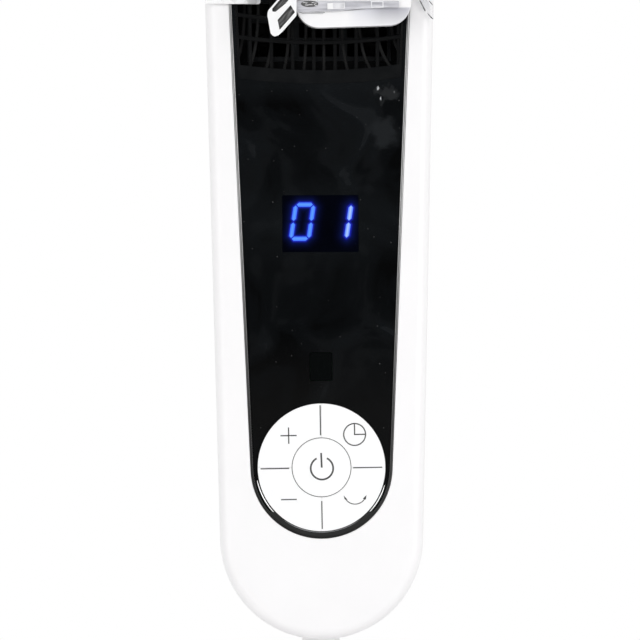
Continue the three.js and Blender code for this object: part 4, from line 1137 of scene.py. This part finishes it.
def strip_details():
    """The glossy oval window in the strip with painted highlights on it, the stepped ledge under it, and a painted
    shadow line that the strip throws.
    """
    oval = [(-5.4 + 4.5 * math.cos(t), 333.7 + 1.65 * math.sin(t)) for t in [math.pi * i / 24 for i in range(48)]]
    window = slab("strip_oval", oval, -73.35, -72.9, SMOKY, "cup", slot="clear_plastic")
    bevelled(window, 0.2, 2, 50.0)
    # Painted highlights: thin white strokes on the oval window.
    glints = []
    for x0, x1, z, lean in ((-9.0, -6.6, 334.3, 0.2), (-7.8, -3.9, 333.2, -0.15), (-4.3, -1.7, 334.2, 0.15), (-3.2, -1.7, 333.1, 0.3)):
        line = [(x0 + (x1 - x0) * k / 8, z + lean * math.sin(math.pi * k / 4)) for k in range(9)]
        glints.append(stroke("g", line, 0.28, None, y=-73.42, material=CUP))
    joined("strip_oval_glints", glints, "cup", slot="cup_white")
    # The ledge lines, and a painted shadow line under the strip.
    ledge = [
        stroke("l", [(-12.3, 331.0), (-9.6, 329.6), (2.6, 329.3)], 0.3, None, y=-71.1, material=LEDGE_AND_PAINTED_LINES),
        stroke("l", [(-11.6, 329.9), (-9.0, 328.8), (1.8, 328.6)], 0.22, None, y=-71.1, material=LEDGE_AND_PAINTED_LINES),
        # Painted shadow: a grey line under the strip's right half.
        slab("l", [(9, 330.2), (13, 330.1), (17, 330.3), (24, 331), (38, 331.6), (40, 332.2), (9, 332.2)], -71.1, -71.0, LEDGE_AND_PAINTED_LINES, None),
    ]
    joined("strip_ledge_and_shadow", ledge, "cup", slot="clear_plastic")


def band():
    parts = [
        slab("bar", [(-63.4, 339), (63.4, 339), (63.4, 347), (-63.4, 347)], -56.7, -54.7, CLEAR, None),
        slab("tab", [(52.5, 335.8), (59, 326.6), (60, 326), (60, 333), (56.5, 338), (56.5, 340), (52.5, 340)],
             -56.7, -54.7, CLEAR, None),
        slab("hook", [(-63.4, 339), (-60.9, 339), (-60.9, 347), (-63.4, 347)], -55.0, -40, CLEAR, None),
        slab("hook", [(60.9, 339), (63.4, 339), (63.4, 347), (60.9, 347)], -55.0, -40, CLEAR, None),
    ]
    whole = parts[0]
    carve(whole, *parts[1:], how="UNION")
    holes = [tool(circle(2.0, *cup_place(x, z), 32), -70, -40) for x, z in ((-15, 6.6), (19, 8.4))]
    carve(whole, *holes)
    bevelled(whole, 0.3, 2, 40.0)
    whole.name = "carrier_band_clear"
    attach(whole, "column")
    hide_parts("carrier_band")
    lug = slab("carrier_band_lug", [(-60, 334.8), (-31.8, 334.4), (-31, 335.2), (-31, 338.9), (-60, 338.9)],
               -56.7, -54.7, LUG, "column", slot="cup_white")
    bevelled(lug, 0.25, 2, 40.0)
    marks = [
        slab("m", [(52.5, 336.0), (53.0, 336.2), (55.9, 330.5), (55.3, 330.2)], -56.78, -56.6, SLOT, None),
        slab("m", [(57.6, 335.6), (58.0, 335.7), (59.8, 333.6), (59.3, 333.5)], -56.78, -56.6, SLOT, None),
        slab("m", [(56.5, 329.3), (57.4, 328.9), (59.7, 326.4), (59.6, 326.1), (58.6, 326.7)], -56.78, -56.6, SLOT, None),
    ]
    joined("carrier_band_marks", marks, "column", slot="clear_plastic")


def latch():
    angle = math.pi - math.radians(48.7)

    def place(a, b):
        return -9.4 + a * math.cos(angle) + b * math.sin(angle), 340.6 - a * math.sin(angle) + b * math.cos(angle)

    half, boss = 6.5, 4.8
    outline = [(boss * math.cos(t), boss * math.sin(t)) for t in [0.1 + 1.268 * math.pi * i / 24 for i in range(25)]]
    outline += [(-0.5, -half), (19.2, -half), (20.6, -5.9), (21.8, -5), (27.6, 2.2), (27.9, 3.8), (27.5, 5.1)]
    outline += [(25.5, 6.2), (22, half), (11.8, half)]
    plate = slab("cup_latch_plate", [place(a, b) for a, b in outline], -76.4, -73.9, CUP, "latch",
                 stands_for=["cup_latch"], slot="cup_white")
    slots = [
        [(4.6, -5.5), (17.3, -5.5), (18.5, -4.5), (17.5, -3.1), (11, -2), (6, -2)],
        [(9.7, 0.5), (20, 0.5), (23.2, 4.7), (11, 4.7)],
    ]
    carve(plate, *[tool([place(a, b) for a, b in slot], -90, -60) for slot in slots])
    bevelled(plate, 0.35, 3, 40.0)
    fill = [[(a * 0.999, b) for a, b in slot] for slot in slots]
    sheets = [slab("sheet", [place(a, b) for a, b in slot], -74.6, -74.1, SLOT, None) for slot in fill]
    joined("latch_slot_sheets", sheets, "latch", slot="clear_plastic")
    slab("latch_pin", circle(2, -9.4, 340.6, 32), -74.4, -71.3, CUP, "latch", slot="cup_white")


FINISH = {
    DARK: ["base_plate", "tip_switch", "keypad_tray", "infrared_receiver"],
    STEEL: ["plunger_spring", "swing_motor", "thermal_cutout", "fan_shaft", "fan_motor"],
    NYLON: ["bearing_ring", "tip_plunger", "gear_sector", "swing_pinion"],
    RUBBER: ["cord_gland", "keypad_mat"],
    BOARD: ["control_board", "power_board"],
    INNER: ["ptc_frame", "air_duct", "fan_wheel", "blower_housing", "upper_bearing"],
    FINS: ["ptc_core"],
    WINDOW: ["receiver_window", "display_module"],
}


def finish_nodes():
    for material, names in FINISH.items():
        for name in names:
            node = NODES[name]
            node.data.materials.clear()
            node.data.materials.append(material)


# ----------------------------------------------------------------------- stage and camera


def stage():
    """A pale round floor that brightens into the background."""
    spokes = 96
    rings = []
    for radius in (840, 700, 500, 300, 100):
        turn = [2 * math.pi * i / spokes for i in range(spokes)]
        rings.append([(radius * math.cos(t), radius * math.sin(t), -0.02) for t in turn])
    verts, faces = loft(rings)
    floor = make("pale_floor", verts, faces[:-2] + faces[-1:], SHELL, None, lift=0)
    material, tree, shader = principled("pale_floor", Roughness=0.7, Base_Color=(0.93, 0.93, 0.93, 1.0))
    vector = coordinates(tree)
    size = tree.nodes.new("ShaderNodeVectorMath")
    size.operation = "LENGTH"
    tree.links.new(vector, size.inputs[0])
    edge = ranged(tree, size.outputs["Value"], 0.0, 1.0, 0.25, 0.8)
    shade = ramp(tree, edge, [(0.0, (0, 0, 0)), (1.0, (0.5, 0.5, 0.5))])
    tree.links.new(shade, shader.inputs["Emission Color"])
    shader.inputs["Emission Strength"].default_value = 1.0
    floor.data.materials.clear()
    floor.data.materials.append(material)


def soft_box(name, place, target, size, watts):
    light = bpy.data.lights.new(name, "AREA")
    light.shape = "RECTANGLE"
    light.size, light.size_y = size
    light.energy = watts
    obj = bpy.data.objects.new(name, light)
    bpy.context.scene.collection.objects.link(obj)
    obj.location = place
    obj.rotation_euler = (Vector(target) - Vector(place)).to_track_quat("-Z", "Y").to_euler()
    obj.visible_camera = False
    return obj


def studio():
    """White all round, but dark straight in front, so that the glossy panel stays black."""
    world = bpy.data.worlds.new("studio")
    bpy.context.scene.world = world
    world.use_nodes = True
    tree = world.node_tree
    back_drop = tree.nodes["Background"]
    where = tree.nodes.new("ShaderNodeTexCoord")
    split = tree.nodes.new("ShaderNodeSeparateXYZ")
    tree.links.new(where.outputs["Generated"], split.inputs["Vector"])
    front = ranged(tree, split.outputs["Y"], 0.0, 1.0, -0.985, -0.86)
    shade = ramp(tree, front, [(0.0, grey(0.03)), (1.0, grey(0.73))])
    seen = tree.nodes.new("ShaderNodeLightPath")
    mix = tree.nodes.new("ShaderNodeMix")
    mix.data_type = "RGBA"
    tree.links.new(seen.outputs["Is Camera Ray"], mix.inputs["Factor"])
    tree.links.new(shade, mix.inputs["A"])
    mix.inputs["B"].default_value = (1.0, 1.0, 1.0, 1.0)
    tree.links.new(mix.outputs["Result"], back_drop.inputs["Color"])
    back_drop.inputs["Strength"].default_value = 1.0
    soft_box("soft_left", (-1.5, -1.75, 0.6), (0, 0, 0.22), (0.9, 1.5), 8.6)
    soft_box("soft_right", (1.5, -1.75, 0.5), (0, 0, 0.22), (0.9, 1.5), 12.4)
    soft_box("soft_top", (0.0, -1.9, 1.3), (0, 0, 0.3), (1.4, 0.8), 4.0)


def camera():
    """Level with the middle of the visible front, far off with a long lens."""
    distance, width, turn = 3.6, 0.3366, math.radians(0.8)
    lens = bpy.data.cameras.new("camera")
    lens.sensor_width = 36.0
    lens.lens = 36.0 * distance / width
    lens.clip_end = 50.0
    obj = bpy.data.objects.new("camera", lens)
    bpy.context.scene.collection.objects.link(obj)
    reach = distance + 0.054
    obj.location = (0.0003 - reach * math.sin(turn), -reach * math.cos(turn), (COLUMN + 168.3) * MM)
    obj.rotation_euler = (math.radians(90), math.radians(0.26), -turn)
    bpy.context.scene.camera = obj


random.seed(7)
camera()
studio()
stage()
front_shell()
rear_shell()
screws()
fascia()
outlet_grille()
inner_guard()
keys()
read_out()
base()
back()
cup()
band()
latch()
finish_nodes()
bpy.context.scene.view_settings.view_transform = "Standard"
